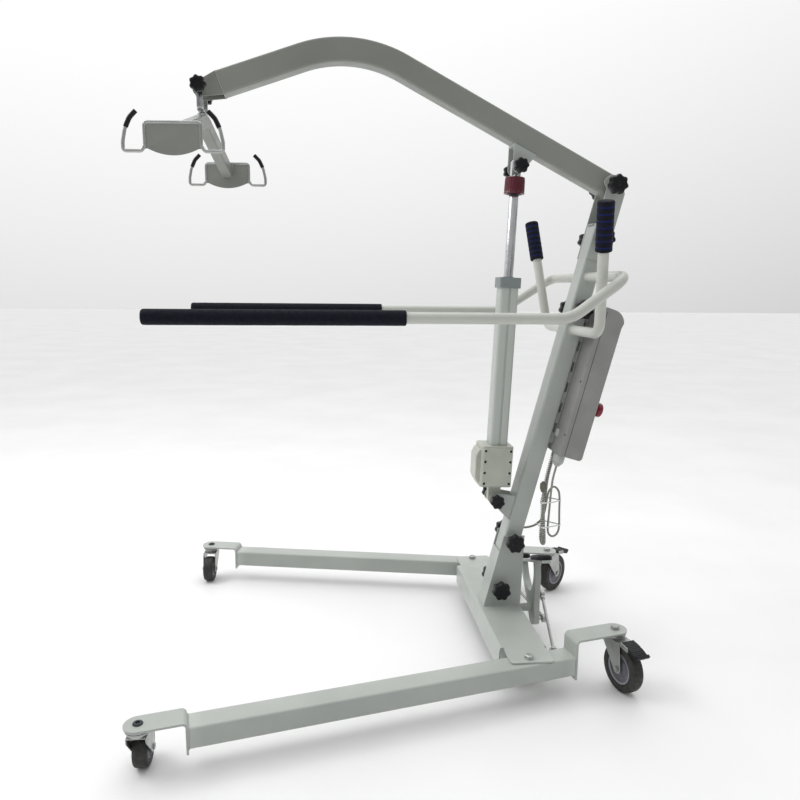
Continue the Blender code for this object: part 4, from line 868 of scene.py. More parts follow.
def make_socket():
    bottom = CROSS_TOP + GAP
    inside = MAST_X / 2 + 0.0005
    outside = inside + SOCKET_SHEET
    outline = [(on_line(-outside, bottom), bottom), (0.062, bottom), (0.068, SOCKET_TOP)]
    outline += [(on_line(-outside, SOCKET_TOP), SOCKET_TOP)]
    half = MAST_Y / 2 + 0.0005
    low, high = bottom - 0.05, SOCKET_TOP + 0.05
    well = prism(
        [(on_line(-inside, low), low), (on_line(0.2, low), low), (on_line(0.2, high), high), (on_line(-inside, high), high)],
        2 * half,
    )
    window = block((-0.1, -half, SOCKET_FRONT_TOP), (0.06, half, SOCKET_TOP + 0.02))
    outer_half = half + SOCKET_SHEET
    piece("socket_shell", prism(outline, 2 * outer_half), "frame_paint", BASE, "frame", ("mast_socket",),
          cuts=[well, window], bevel=0.0010, steps=3)
    front, rear = on_line(-outside, bottom), 0.062
    route = [(rear, -outer_half, bottom), (front, -outer_half, bottom), (front, outer_half, bottom)]
    route.append((rear, outer_half, bottom))
    weld_bead("socket_weld", route, 0.0019, BASE, "frame", seed=5)


def make_mast():
    outer = rounded_rectangle(MAST_Y, MAST_X, 0.006, 8)
    inner = rounded_rectangle(MAST_Y - 2 * WALL, MAST_X - 2 * WALL, 0.0035, 8)
    tube = swept([(0.0, 0.0, MAST_BOTTOM), (0.0, 0.0, MAST_TOP - 0.001)], outer, inner)
    inlet = mast_local((on_line(MAST_X / 2, CABLE_INLET_Z), CABLE_INLET_Z))
    cuts = [cylinder(CABLE_R + 0.001, 0.0, 0.05, "X", (0.0, -0.010, inlet[2]))]
    piece("mast_column", tube, "frame_paint", MAST, "frame", ("mast_tube",), cuts=cuts, bevel=0.0005)
    cap = stacked([
        (MAST_TOP - 0.006, rounded_rectangle(MAST_Y - 2 * WALL - 0.0004, MAST_X - 2 * WALL - 0.0004, 0.0035, 4)),
        (MAST_TOP - 0.002, rounded_rectangle(MAST_Y - 2 * WALL - 0.0004, MAST_X - 2 * WALL - 0.0004, 0.0035, 4)),
        (MAST_TOP, rounded_rectangle(MAST_Y - 2 * WALL - 0.006, MAST_X - 2 * WALL - 0.006, 0.003, 4)),
    ])
    piece("mast_cap", cap, "grey_plastic", MAST, "frame")
    grommet = ring_turned([(CABLE_R + 0.0002, 0.0), (CABLE_R + 0.0030, 0.0), (CABLE_R + 0.0026, 0.0020),
                           (CABLE_R + 0.0002, 0.0026)], 32, "X")
    piece("cable_grommet", moved(grommet, (MAST_X / 2, -0.010, inlet[2])), "black_plastic", MAST, "frame")
    half = MAST_Y / 2 + 0.0005
    for name, seat in (("base_lower", 0.0042), ("base_upper", 0.0042), ("clamp", 0.0005), ("yoke", 0.0052)):
        knob_set(f"{name}_knobs", MAST, "frame", (0.0, 0.0, MAST_BOLTS[name]), 0.027, half + seat, 0.040, 0.005)
    collar = [(TUBE_R + 0.0002, 0.0), (TUBE_R + 0.0030, 0.0), (TUBE_R + 0.0002, 0.0028)]
    w, _, u = mast_local(CROSS_TUBE)
    for side, sign in SIDES:
        ring = ring_turned([(r, sign * (MAST_Y / 2 + h)) for r, h in collar], 40, "Y")
        piece(f"cross_tube_weld_{side}", moved(ring, (w, 0.0, u)), "weld", MAST, "frame")
    make_yoke(half)


def make_yoke(half):
    pivot_w, _, pivot_u = mast_local((BOOM_PIVOT[0], BOOM_PIVOT[2]))
    front, rear, low = -MAST_X / 2, MAST_X / 2 + 0.004, 0.968
    outline = [(front, low), (rear, low), (rear, pivot_u - 0.012)]
    outline += arc((pivot_w, pivot_u), 0.029, 5, 175, 28)
    outline += [(front, pivot_u - 0.012)]
    throat = block((-0.1, -half, low - 0.01), (MAST_X / 2 + 0.0005, half, pivot_u + 0.1))
    behind = block((0.0, -half, 1.110), (0.1, half, pivot_u + 0.1))
    piece("yoke_ears", prism(outline, 2 * (half + 0.0045)), "frame_paint", MAST, "frame", ("mast_yoke",),
          cuts=[throat, behind], bevel=0.0010, steps=3)
    knob_set("boom_pivot_knobs", MAST, "frame", (pivot_w, 0.0, pivot_u), 0.027, half + 0.0052, 0.040, 0.006)
    for side, sign in SIDES:
        y = sign * (half + 0.0003)
        weld_bead(f"yoke_weld_{side}", [(-0.022, y, MAST_TOP), (0.022, y, MAST_TOP)], 0.0012, MAST, "frame", seed=sign)


# ---------------------------------------------------------------- pedal
def make_pedal():
    bar = PEDAL_BAR_Z
    right = [(0.000, -0.052), (0.012, -0.050), (0.020, -0.046), (0.026, -0.034), (0.030, -0.020), (0.033, -0.004)]
    right += [(0.036, 0.010), (0.043, 0.030), (0.052, 0.050), (0.060, 0.070), (0.068, 0.090), (0.071, 0.110)]
    right += [(0.072, bar + 0.002), (0.056, bar + 0.002), (0.054, 0.112), (0.050, 0.095), (0.043, 0.080)]
    right += [(0.034, 0.068), (0.024, 0.057), (0.014, 0.050)]
    left = [(-y, z) for y, z in reversed(right[1:])]
    plate = prism(right + [(0.0, 0.046)] + left, 0.018, "X")
    piece("pedal_plate", plate, "frame_paint", PEDAL, "pedal", ("pedal_rocker",), bevel=0.0018, steps=3)
    outline = rounded_rectangle(0.320, 0.026, 0.004, 6)
    bar_shape = stacked([(bar, [(b, a) for a, b in outline]), (bar + 0.008, [(b, a) for a, b in outline])])
    piece("pedal_bar", bar_shape, "frame_paint", PEDAL, "pedal", bevel=0.0012, steps=3)
    hub_front = CROSS_HALF_X + GAP - PEDAL_PIVOT[0]
    hub = [(0.0058, hub_front - 0.009), (0.0058, hub_front), (0.0115, hub_front), (0.012, hub_front + 0.0008), (0.012, 0.0)]
    piece("pedal_hub", turned(hub, 40, "X"), "frame_paint", PEDAL, "pedal")
    nut = [(0.009, hexagon(0.019)), (0.0155, hexagon(0.019)), (0.0170, circle(0.0075, 12))]
    piece("pedal_nut", stacked(nut, "X"), "zinc", PEDAL, "pedal", bevel=0.0005)
    for number, sign in enumerate((1, -1)):
        pin = [(0.004, 0.0), (0.004, TIE_PIN_X + 0.0062), (0.0065, TIE_PIN_X + 0.0062), (0.0065, TIE_PIN_X + 0.008)]
        piece(f"pedal_pin_{number}", moved(turned(pin, 28, "X"), (0.0, 0.0, sign * TIE_PIN_R)), "zinc", PEDAL, "pedal")
    for side, sign in SIDES:
        low = bar + 0.008 + GAP
        outline = [(sign * y, x) for y, x in rounded_rectangle(0.104, 0.042, 0.018, 12)]

        def grown(height, wide, deep):
            return height, [(b * deep, a * wide + sign * 0.106) for a, b in outline]

        rings = [grown(low, 0.985, 0.97), grown(low + 0.0015, 1.0, 1.0), grown(low + 0.008, 1.0, 1.0)]
        rings += [grown(low + 0.0112, 0.985, 0.95), grown(low + 0.0126, 0.96, 0.87)]
        piece(f"{side}_pad_body", stacked([(h, [(x, y) for x, y in ring]) for h, ring in rings]), "black_plastic",
              PEDAL, "pedal", (f"{side}_pedal_pad",), sharp=50.0)
        for number in range(9):
            y = sign * 0.106 + (number - 4) * 0.0095
            rib = block((-0.0135, y - 0.0018, low + 0.0115), (0.0135, y + 0.0018, low + 0.0138))
            piece(f"{side}_pad_rib_{number}", rib, "black_plastic", PEDAL, "pedal", bevel=0.0007)


def make_tie_rod(side, sign):
    radians = math.radians(-sign * LEG_SPLAY)
    along, inward = 0.0975, -sign * 0.045
    stud_x = along * math.cos(radians) - inward * math.sin(radians)
    stud_y = sign * PIVOT_Y + along * math.sin(radians) + inward * math.cos(radians)
    matrix = shift(PIVOT_X + stud_x, stud_y, 0.0)
    tilt = math.radians(PEDAL_TILT)
    height = -sign * TIE_PIN_R
    pin = (PEDAL_PIVOT[0] + TIE_PIN_X - stud_x, -height * math.sin(tilt) - stud_y, PEDAL_PIVOT[2] + height * math.cos(tilt))
    stud = (0.0, 0.0, 0.0905)
    line = Vector(stud) - Vector(pin)
    direction = line.normalized()
    start, end = Vector(pin) + direction * 0.011, Vector(stud) - direction * 0.010
    rod = swept([start, end], circle(0.004, 24), side=(1.0, 0.0, 0.0))
    body = f"{side}_tie_link"
    piece(f"{side}_rod", rod, "zinc", matrix, body, (f"{side}_tie_rod",))
    eye = [(0.0072, -0.0042), (0.0074, -0.0050), (0.0112, -0.0050), (0.0120, -0.0040), (0.0120, 0.0040)]
    eye += [(0.0112, 0.0050), (0.0074, 0.0050), (0.0072, 0.0042)]
    piece(f"{side}_rod_eye", moved(ring_turned(eye, 40, "X"), pin), "zinc", matrix, body)
    eye = [(0.0052, -0.0034), (0.0054, -0.0040), (0.0104, -0.0040), (0.0110, -0.0032), (0.0110, 0.0032)]
    eye += [(0.0104, 0.0040), (0.0054, 0.0040), (0.0052, 0.0034)]
    piece(f"{side}_rod_leg_eye", moved(ring_turned(eye, 40, "Z"), stud), "zinc", matrix, body)
    at = start + direction * 0.010
    nut = swept([at, at + direction * 0.008], hexagon(0.013), side=(1.0, 0.0, 0.0))
    piece(f"{side}_rod_nut", nut, "zinc", matrix, body, bevel=0.0005)


# ---------------------------------------------------------------- boom
def make_boom():
    pivot = Vector(BOOM_PIVOT)
    corner, front = Vector(BOOM_CORNER) - pivot, Vector(BOOM_FRONT) - pivot
    rear = -corner.normalized() * 0.030
    outer = rounded_rectangle(BOOM_WIDTH, BOOM_DEPTH, 0.006, 8)
    inner = rounded_rectangle(BOOM_WIDTH - 2 * WALL, BOOM_DEPTH - 2 * WALL, 0.0035, 8)
    body = "boom_assembly"
    route = bent([rear, corner, front], [BOOM_BEND], 40)
    tip = Vector(TIP_PIN) - pivot
    piece("boom_tube", swept(route, outer, inner), "boom_paint", BOOM, body, ("boom",), bevel=0.0)
    nose = [(front.x + 0.010, front.z + 0.0315), (front.x - 0.012, front.z + 0.0270), (tip.x + 0.006, tip.z + 0.026)]
    nose += arc((tip.x, tip.z), 0.020, 100, 262, 24)
    nose += [(front.x + 0.013, front.z - 0.0280)]
    hollow = [
        (front.x + 0.012, front.z + 0.0255), (front.x - 0.010, front.z + 0.0215),
        (tip.x + 0.010, tip.z + 0.022), (tip.x - 0.050, tip.z - 0.004), (tip.x - 0.050, tip.z - 0.050),
        (front.x + 0.060, front.z - 0.060),
    ]
    piece("boom_nose", prism(nose, BOOM_WIDTH - 0.002), "boom_paint", BOOM, body,
          cuts=[prism(hollow, BOOM_WIDTH - 0.011)], bevel=0.0016, steps=3)
    tangent = (front - corner).normalized()
    up = Vector((-tangent.z, 0.0, tangent.x))
    ring = [tuple(front + Vector((0.0, a, 0.0)) + up * b) for a, b in rounded_rectangle(BOOM_WIDTH, BOOM_DEPTH, 0.006, 4)]
    weld_bead("boom_nose_weld", ring, 0.0010, BOOM, body, True, 3)
    plug = rounded_rectangle(BOOM_WIDTH - 2 * WALL - 0.0004, BOOM_DEPTH - 2 * WALL - 0.0004, 0.0035, 4)
    out = rear.normalized()
    cap = swept([rear - out * 0.004, rear + out * 0.0004], plug)
    piece("boom_end_plug", cap, "grey_plastic", BOOM, body, bevel=0.0008)
    make_boom_lug(pivot)
    knob_set("boom_tip_knobs", BOOM, body, tip, 0.0205, 0.0402, 0.034, 0.005)


def make_boom_lug(pivot):
    pin = Vector(UPPER_PIN) - pivot
    slope = -BOOM_SLOPE
    under = -BOOM_DEPTH / 2 * math.hypot(1.0, slope) - GAP

    def below(x, drop=0.0):
        return (x, slope * x + under - drop)

    front, rear = 0.000 - pivot.x, 0.061 - pivot.x
    outline = arc((pin.x, pin.z), 0.0155, 170, 320, 24) + [below(rear), below(front)]
    inside = BOOM_WIDTH / 2
    slot = prism([below(-0.5, 0.2), below(0.0, 0.2), below(0.0, SHEET), below(-0.5, SHEET)], 2 * inside)
    piece("lug_channel", prism(outline, 2 * (inside + SHEET)), "frame_paint", BOOM, "boom_assembly", ("boom_lug",),
          cuts=[slot], bevel=0.0009, steps=3)
    for side, sign in SIDES:
        node = f"actuator_upper_knob_{side}"
        knob_set(node, BOOM, "boom_assembly", pin, 0.0205, inside + SHEET + 0.0005, 0.034, 0.005, ((side, sign),), False)
        stud = cylinder(0.005, sign * 0.0135, sign * (inside + SHEET), "Y", pin)
        piece(f"{node}_stud", stud, "zinc", BOOM, "boom_assembly")
        y = sign * (BOOM_WIDTH / 2 + 0.0016)
        route = [(below(front)[0], y, below(front)[1] + 0.0006), (below(rear)[0], y, below(rear)[1] + 0.0006)]
        weld_bead(f"lug_weld_{side}", route, 0.0015, BOOM, "boom_assembly", seed=7 + sign)


# ---------------------------------------------------------------- actuator
def make_actuator():
    body = "actuator_barrel"
    shifted = ACTUATOR @ shift(-0.006, 0.0, 0.0)
    eye_low = prism(arc((0, 0), 0.018, 180, 360, 24) + [(0.018, 0.045), (-0.018, 0.045)], 0.020)
    piece("gearbox_eye", eye_low, "cream_plastic", ACTUATOR, body, cuts=[cylinder(0.0066, -0.03, 0.03, "Y")], bevel=0.001)
    outline = rounded_rectangle(0.092, 0.084, 0.009, 8)
    housing = stacked([(0.040, outline), (0.158, outline)])
    piece("gearbox_housing", housing, "cream_plastic", shifted, body, ("actuator_gearbox",), bevel=0.0022, steps=4)
    bulge = prism(
        [(-0.060, 0.066), (-0.060, 0.128), (-0.052, 0.146), (-0.030, 0.150), (-0.030, 0.048), (-0.052, 0.050)],
        0.064,
    )
    piece("gearbox_motor_cover", bulge, "cream_plastic", shifted, body, bevel=0.003, steps=4)
    for side, sign in SIDES:
        lid = [(a, b + 0.099) for a, b in rounded_rectangle(0.084, 0.110, 0.012, 8)]
        cover = prism(lid, 0.0042, "Y", sign * 0.0438)
        piece(f"gearbox_lid_{side}", cover, "cream_plastic", shifted, body, bevel=0.0012, steps=3)
        spots = [(x, z) for x in (-0.036, 0.036) for z in (0.052, 0.083, 0.115, 0.146)]
        for number, (x, z) in enumerate(spots):
            y = sign * 0.0459
            boss = turned([(0.0058, -sign * 0.0020), (0.0058, sign * 0.0012), (0.0050, sign * 0.0017)], 28, "Y")
            piece(f"gearbox_boss_{side}_{number}", moved(boss, (x, y, z)), "cream_plastic", shifted, body)
            head = [(0.0038, 0.0), (0.0038, sign * 0.0009), (0.0030, sign * 0.0014), (0.0016, sign * 0.0014)]
            head += [(0.0013, sign * 0.0004)]
            piece(f"gearbox_screw_{side}_{number}", moved(turned(head, 24, "Y"), (x, y + sign * 0.0015, z)),
                  "black_steel", shifted, body)
    tube_low, tube_high = 0.158 + GAP, 0.600
    half = [(0.028, -0.017), (0.028, -0.0035), (0.0262, -0.0025), (0.0262, 0.0025), (0.028, 0.0035), (0.028, 0.017)]
    outer = half + arc((0.020, 0.017), 0.008, 0, 90, 8) + arc((-0.020, 0.017), 0.008, 90, 180, 8)
    outer += [(-a, -b) for a, b in half] + arc((-0.020, -0.017), 0.008, 180, 270, 8)
    outer += arc((0.020, -0.017), 0.008, 270, 360, 8)
    tube = stacked([(tube_low, [(b, a) for a, b in outer]), (tube_high, [(b, a) for a, b in outer])])
    piece("actuator_profile", tube, "frame_paint", ACTUATOR, body, ("actuator_tube",), sharp=25.0)
    rim = rounded_rectangle(0.060, 0.062, 0.006, 6)
    hole = cylinder(ROD_R + 0.0007, tube_high - 0.02, tube_high + 0.06, "Z", steps=48)
    cap = stacked([(tube_high - 0.001, rim), (tube_high + 0.028, rim)])
    piece("actuator_end_cap", cap, "grey_plastic", ACTUATOR, body, cuts=[hole], bevel=0.0014, steps=3)
    wiper = [(ROD_R + 0.0003, 0.0), (ROD_R + 0.0042, 0.0), (ROD_R + 0.0030, 0.0016), (ROD_R + 0.0003, 0.0018)]
    piece("rod_wiper", moved(ring_turned(wiper, 48), (0, 0, tube_high + 0.0279)), "black_plastic", ACTUATOR, body)
    body = "actuator_rod"
    rod = [(ROD_R - 0.001, 0.365 - ACTUATOR_LENGTH), (ROD_R, 0.366 - ACTUATOR_LENGTH), (ROD_R, -0.019), (0.0115, -0.0165)]
    piece("rod_bar", turned(rod, 64), "chrome", ROD, body, ("piston_rod",))
    eye = prism(arc((0, 0.015), 0.0125, 0, 180, 24) + [(-0.0125, -0.0200), (0.0125, -0.0200)], 0.020)
    piece("rod_head", eye, "chrome", ROD, body, cuts=[cylinder(0.0062, -0.03, 0.03, "Y")], bevel=0.0012, steps=3)
    bore = ROD_R + 0.0004
    ribs = 28
    rings = []
    for height, radius, depth in (
        (-0.0670, 0.0272, 0.0), (-0.0662, 0.0280, 0.0), (-0.0625, 0.0280, 0.0), (-0.0612, 0.0270, 0.0),
        (-0.0600, 0.0276, 0.0011), (-0.0300, 0.0270, 0.0011), (-0.0290, 0.0264, 0.0), (-0.0272, 0.0268, 0.0),
        (-0.0246, 0.0266, 0.0), (-0.0232, 0.0248, 0.0), (-0.0230, 0.0180, 0.0),
    ):
        ring = []
        for i in range(ribs * 6):
            a = 2 * math.pi * i / (ribs * 6)
            r = radius - depth * (0.5 - 0.5 * math.cos(ribs * a)) ** 0.6
            ring.append((r * math.cos(a), r * math.sin(a)))
        rings.append((height, ring))
    piece("collar_shell", stacked(rings), "maroon_plastic", ROD, body, ("quick_release_collar",), sharp=40.0)
    lip = ring_turned([(bore, -0.0672), (0.0200, -0.0672), (0.0190, -0.0690), (bore, -0.0690)], 48)
    piece("collar_lip", lip, "black_plastic", ROD, body)


def make_lower_bracket():
    pin_w, _, pin_u = mast_local((LOWER_PIN[0], LOWER_PIN[2]))
    back = -MAST_X / 2 - GAP
    outline = [(back, pin_u - 0.050), (back, pin_u + 0.022), (pin_w + 0.004, pin_u + 0.019)]
    outline += arc((pin_w, pin_u), 0.0185, 80, 280, 24)
    inside = block((-0.3, -0.024, pin_u - 0.2), (back - 0.004, 0.024, pin_u + 0.2))
    piece("lower_clevis", prism(outline, 0.056), "frame_paint", MAST, "frame", ("actuator_lower_bracket",),
          cuts=[inside], bevel=0.0009, steps=3)
    knob_set("actuator_lower_knobs", MAST, "frame", (pin_w, 0.0, pin_u), 0.0205, 0.0285, 0.034, 0.005)
    for side, sign in SIDES:
        y = sign * 0.0285
        weld_bead(f"clevis_weld_{side}", [(back, y, pin_u - 0.048), (back, y, pin_u + 0.020)], 0.0013, MAST, "frame",
                  seed=11 + sign)


# ---------------------------------------------------------------- spreader
def make_spreader():
    inside, sheet, half_x, low = 0.0362, 0.0030, 0.008, -0.052
    bend = 0.007
    route = bent([(0, -inside - sheet / 2, 0.0), (0, -inside - sheet / 2, low - sheet / 2),
                  (0, inside + sheet / 2, low - sheet / 2), (0, inside + sheet / 2, 0.0)], [bend, bend], 10)
    band = swept(route, rounded_rectangle(2 * half_x, sheet, 0.0008, 2), side=(1.0, 0.0, 0.0))
    piece("hanger_strap", band, "chrome", HANGER, "hanger", ("hanger_link",))
    for side, sign in SIDES:
        ear = prism(arc((0, 0), 0.0102, 0, 360, 40)[:-1], sheet, "Y", sign * (inside + sheet / 2))
        piece(f"hanger_ear_{side}", ear, "chrome", HANGER, "hanger", bevel=0.0005)
    end_z = -0.100
    half = SPREADER_HALF - 0.0018
    section = rounded_rectangle(0.030, 0.034, 0.004, 6)
    route = bent([(0, -half, end_z), (0, 0, -0.016), (0, half, end_z)], [0.05], 16)
    trims = [block((-0.1, s * (half + 0.05) - 0.05, -0.2), (0.1, s * (half + 0.05) + 0.05, 0.1)) for s in (-1, 1)]
    piece("spreader_tube", swept(route, section, side=(1.0, 0.0, 0.0)), "boom_paint", SPREADER, "spreader",
          ("spreader_beam",), cuts=trims, bevel=0.0006)
    stem = [(0.0058, -0.012), (0.0058, -0.004), (0.0130, -0.004), (0.0132, -0.0035), (0.0132, APEX_DROP + low - 0.0042)]
    stem += [(0.0126, APEX_DROP + low - 0.0036), (0.0058, APEX_DROP + low - 0.0036), (0.0058, APEX_DROP + low + 0.0003)]
    piece("swivel_boss", turned(stem, 40), "chrome", SPREADER, "spreader")
    nut = APEX_DROP + low + 0.0003
    cap = [(nut, hexagon(0.019)), (nut + 0.0068, hexagon(0.019)), (nut + 0.0084, circle(0.0072, 12))]
    piece("swivel_nut", stacked(cap), "zinc", SPREADER, "spreader", bevel=0.0005)
    for side, sign in SIDES:
        make_hook_frame(side, sign)
        at = sign * (SPREADER_HALF - 0.0022)
        ring = [(a, at, end_z + 0.006 + b * 1.05) for a, b in rounded_rectangle(0.031, 0.037, 0.004, 3)]
        weld_bead(f"spreader_weld_{side}", ring, 0.0013, SPREADER, "spreader", True, 13 + sign)


def make_hook_frame(side, sign):
    top, bottom, plate_half = -0.075, -0.131, 0.062
    plate = [(-plate_half, top), (-plate_half, bottom)]
    for i in range(25):
        x = -0.056 + 0.112 * i / 24
        plate.append((x, bottom - 0.014 * (1 - (x / 0.056) ** 2)))
    plate += [(plate_half, bottom), (plate_half, top)]
    hook = [
        (0.080, -0.052), (0.094, -0.066), (0.1050, -0.090), (0.1105, -0.116), (0.1105, -0.136),
        (0.070, -0.136), (plate_half, -0.124), (plate_half, top),
    ]
    radii = [0.03, 0.04, 0.04, 0.007, 0.010, 0.008, 0.008]
    corners = [(-x, 0.0, z) for x, z in hook] + [(x, 0.0, z) for x, z in reversed(hook)]
    route = bent(corners, radii + list(reversed(radii)), 8)
    at = shift(0.0, sign * SPREADER_HALF, 0.0)
    wire = swept(route, circle(0.004, 20), side=(0.0, 1.0, 0.0))
    piece(f"{side}_hook_wire", wire, "zinc", SPREADER @ at, "spreader", (f"{side}_hook_frame",), sharp=60.0)
    piece(f"{side}_hook_plate", prism(plate, 0.003), "boom_paint", SPREADER @ at, "spreader", bevel=0.0008)
    for end, order in (("front", route), ("rear", list(reversed(route)))):
        sleeve, length = [order[0]], 0.0
        for a, b in zip(order, order[1:]):
            length += (b - a).length
            sleeve.append(b)
            if length > 0.026:
                break
        tip = sleeve[0] + (sleeve[0] - sleeve[1]).normalized() * 0.0012
        cover = swept([tip] + sleeve[1:], circle(0.0054, 24), side=(0.0, 1.0, 0.0))
        piece(f"{side}_{end}_hook_sleeve", cover, "black_plastic", SPREADER @ at, "spreader", bevel=0.0012, steps=3)


# ---------------------------------------------------------------- walking frame and push handles
def make_walking_frame():
    x, z = CROSS_TUBE
    front, bend = (ARM_FRONT, ARM_Y, ARM_Z), (0.072, ARM_Y, ARM_Z)
    corners = [(a, -b, c) for a, b, c in (front, bend)] + [(x, -0.285, z), (x, 0.285, z), bend, front]
    route = bent(corners, [0.10, 0.055, 0.055, 0.10], 20)
    tube = swept(route, circle(TUBE_R, 40), circle(TUBE_R - 0.002, 40), side=(0.0, 0.0, 1.0))
    piece("walking_tube", tube, "tube_paint", BASE, "frame", ("walking_frame",), sharp=50.0)
    for side, sign in SIDES:
        bore = TUBE_R + 0.0004
        tip, end, r = ARM_FRONT - 0.006, ARM_GRIP_REAR, ARM_GRIP_R
        grip = [(0.003, tip), (r - 0.006, tip), (r - 0.003, tip + 0.0007), (r - 0.0009, tip + 0.0025), (r, tip + 0.006)]
        count = 60
        for i in range(1, count):
            place = tip + 0.006 + (end - tip - 0.009) * i / count
            grip.append((r + 0.00022 * noise.noise((place * 34.0, sign * 3.1, 0.0)), place))
        grip += [(r, end - 0.0025), (r - 0.0006, end - 0.0008), (r - 0.0018, end), (bore, end)]
        grip += [(bore, ARM_FRONT - 0.001), (0.003, ARM_FRONT - 0.001)]
        arm = piece(f"{side}_arm_foam", moved(turned(grip, 48, "X"), (0.0, sign * ARM_Y, ARM_Z)), "foam", BASE, "frame",
                    (f"{side}_arm_grip",), sharp=50.0)
        make_push_handle(side, sign)


def make_push_handle(side, sign):
    x = on_line(0.0, HANDLE_Z)
    elbow = Vector((x + 0.002, sign * 0.206, HANDLE_Z))
    top = Vector((0.153, sign * 0.292, 1.230))
    corners = [(x, sign * (MAST_Y / 2 + GAP), HANDLE_Z), elbow, top]
    tube = swept(bent(corners, [0.045], 20), circle(TUBE_R, 40), circle(TUBE_R - 0.002, 40), side=(0, 0, 1))
    piece(f"{side}_handle_tube", tube, "tube_paint", BASE, "frame", (f"{side}_push_handle",), sharp=50.0)
    weld = [(TUBE_R + 0.0002, 0.0), (TUBE_R + 0.0030, 0.0), (TUBE_R + 0.0002, 0.0030)]
    ring = ring_turned([(r, sign * (MAST_Y / 2 + h)) for r, h in weld], 40, "Y")
    piece(f"{side}_handle_weld", moved(ring, (x, 0.0, HANDLE_Z)), "weld", BASE, "frame")
    direction = (top - elbow).normalized()
    matrix = BASE @ Matrix.Translation(top) @ direction.to_track_quat("Z", "Y").to_matrix().to_4x4()
    bore, length, radius = TUBE_R + 0.0004, 0.117, 0.0205
    profile, blue = [(0.003, 0.004), (0.0150, 0.004), (0.0180, 0.0034), (0.0200, 0.0018), (radius, -0.0010)], set()
    stripes, pitch = 7, 0.0158
    for number in range(stripes):
        low = -0.0105 - number * pitch
        profile += [(radius, low + 0.0016), (radius - 0.0004, low + 0.0010)]
        blue.add(len(profile) - 1)
        profile += [(radius - 0.0004, low - 0.0014)]
        profile += [(radius, low - 0.0020)]
    profile += [(radius, 0.0030 - length), (radius - 0.0008, 0.0010 - length), (radius - 0.0030, -length)]
    profile += [(bore, -length), (bore, 0.0006), (0.003, 0.0006)]
    steps = 48
    shape = turned(profile, steps)
    name = f"{side}_handle_foam"
    mesh = to_mesh(name, shape, ("foam", "foam_blue"), lambda face: 1 if face // steps in blue else 0)
    obj = add_object(name, mesh, matrix)
    finish_surface(obj, sharp=50.0)
    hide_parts(f"{side}_push_grip")
    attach(obj, "frame")


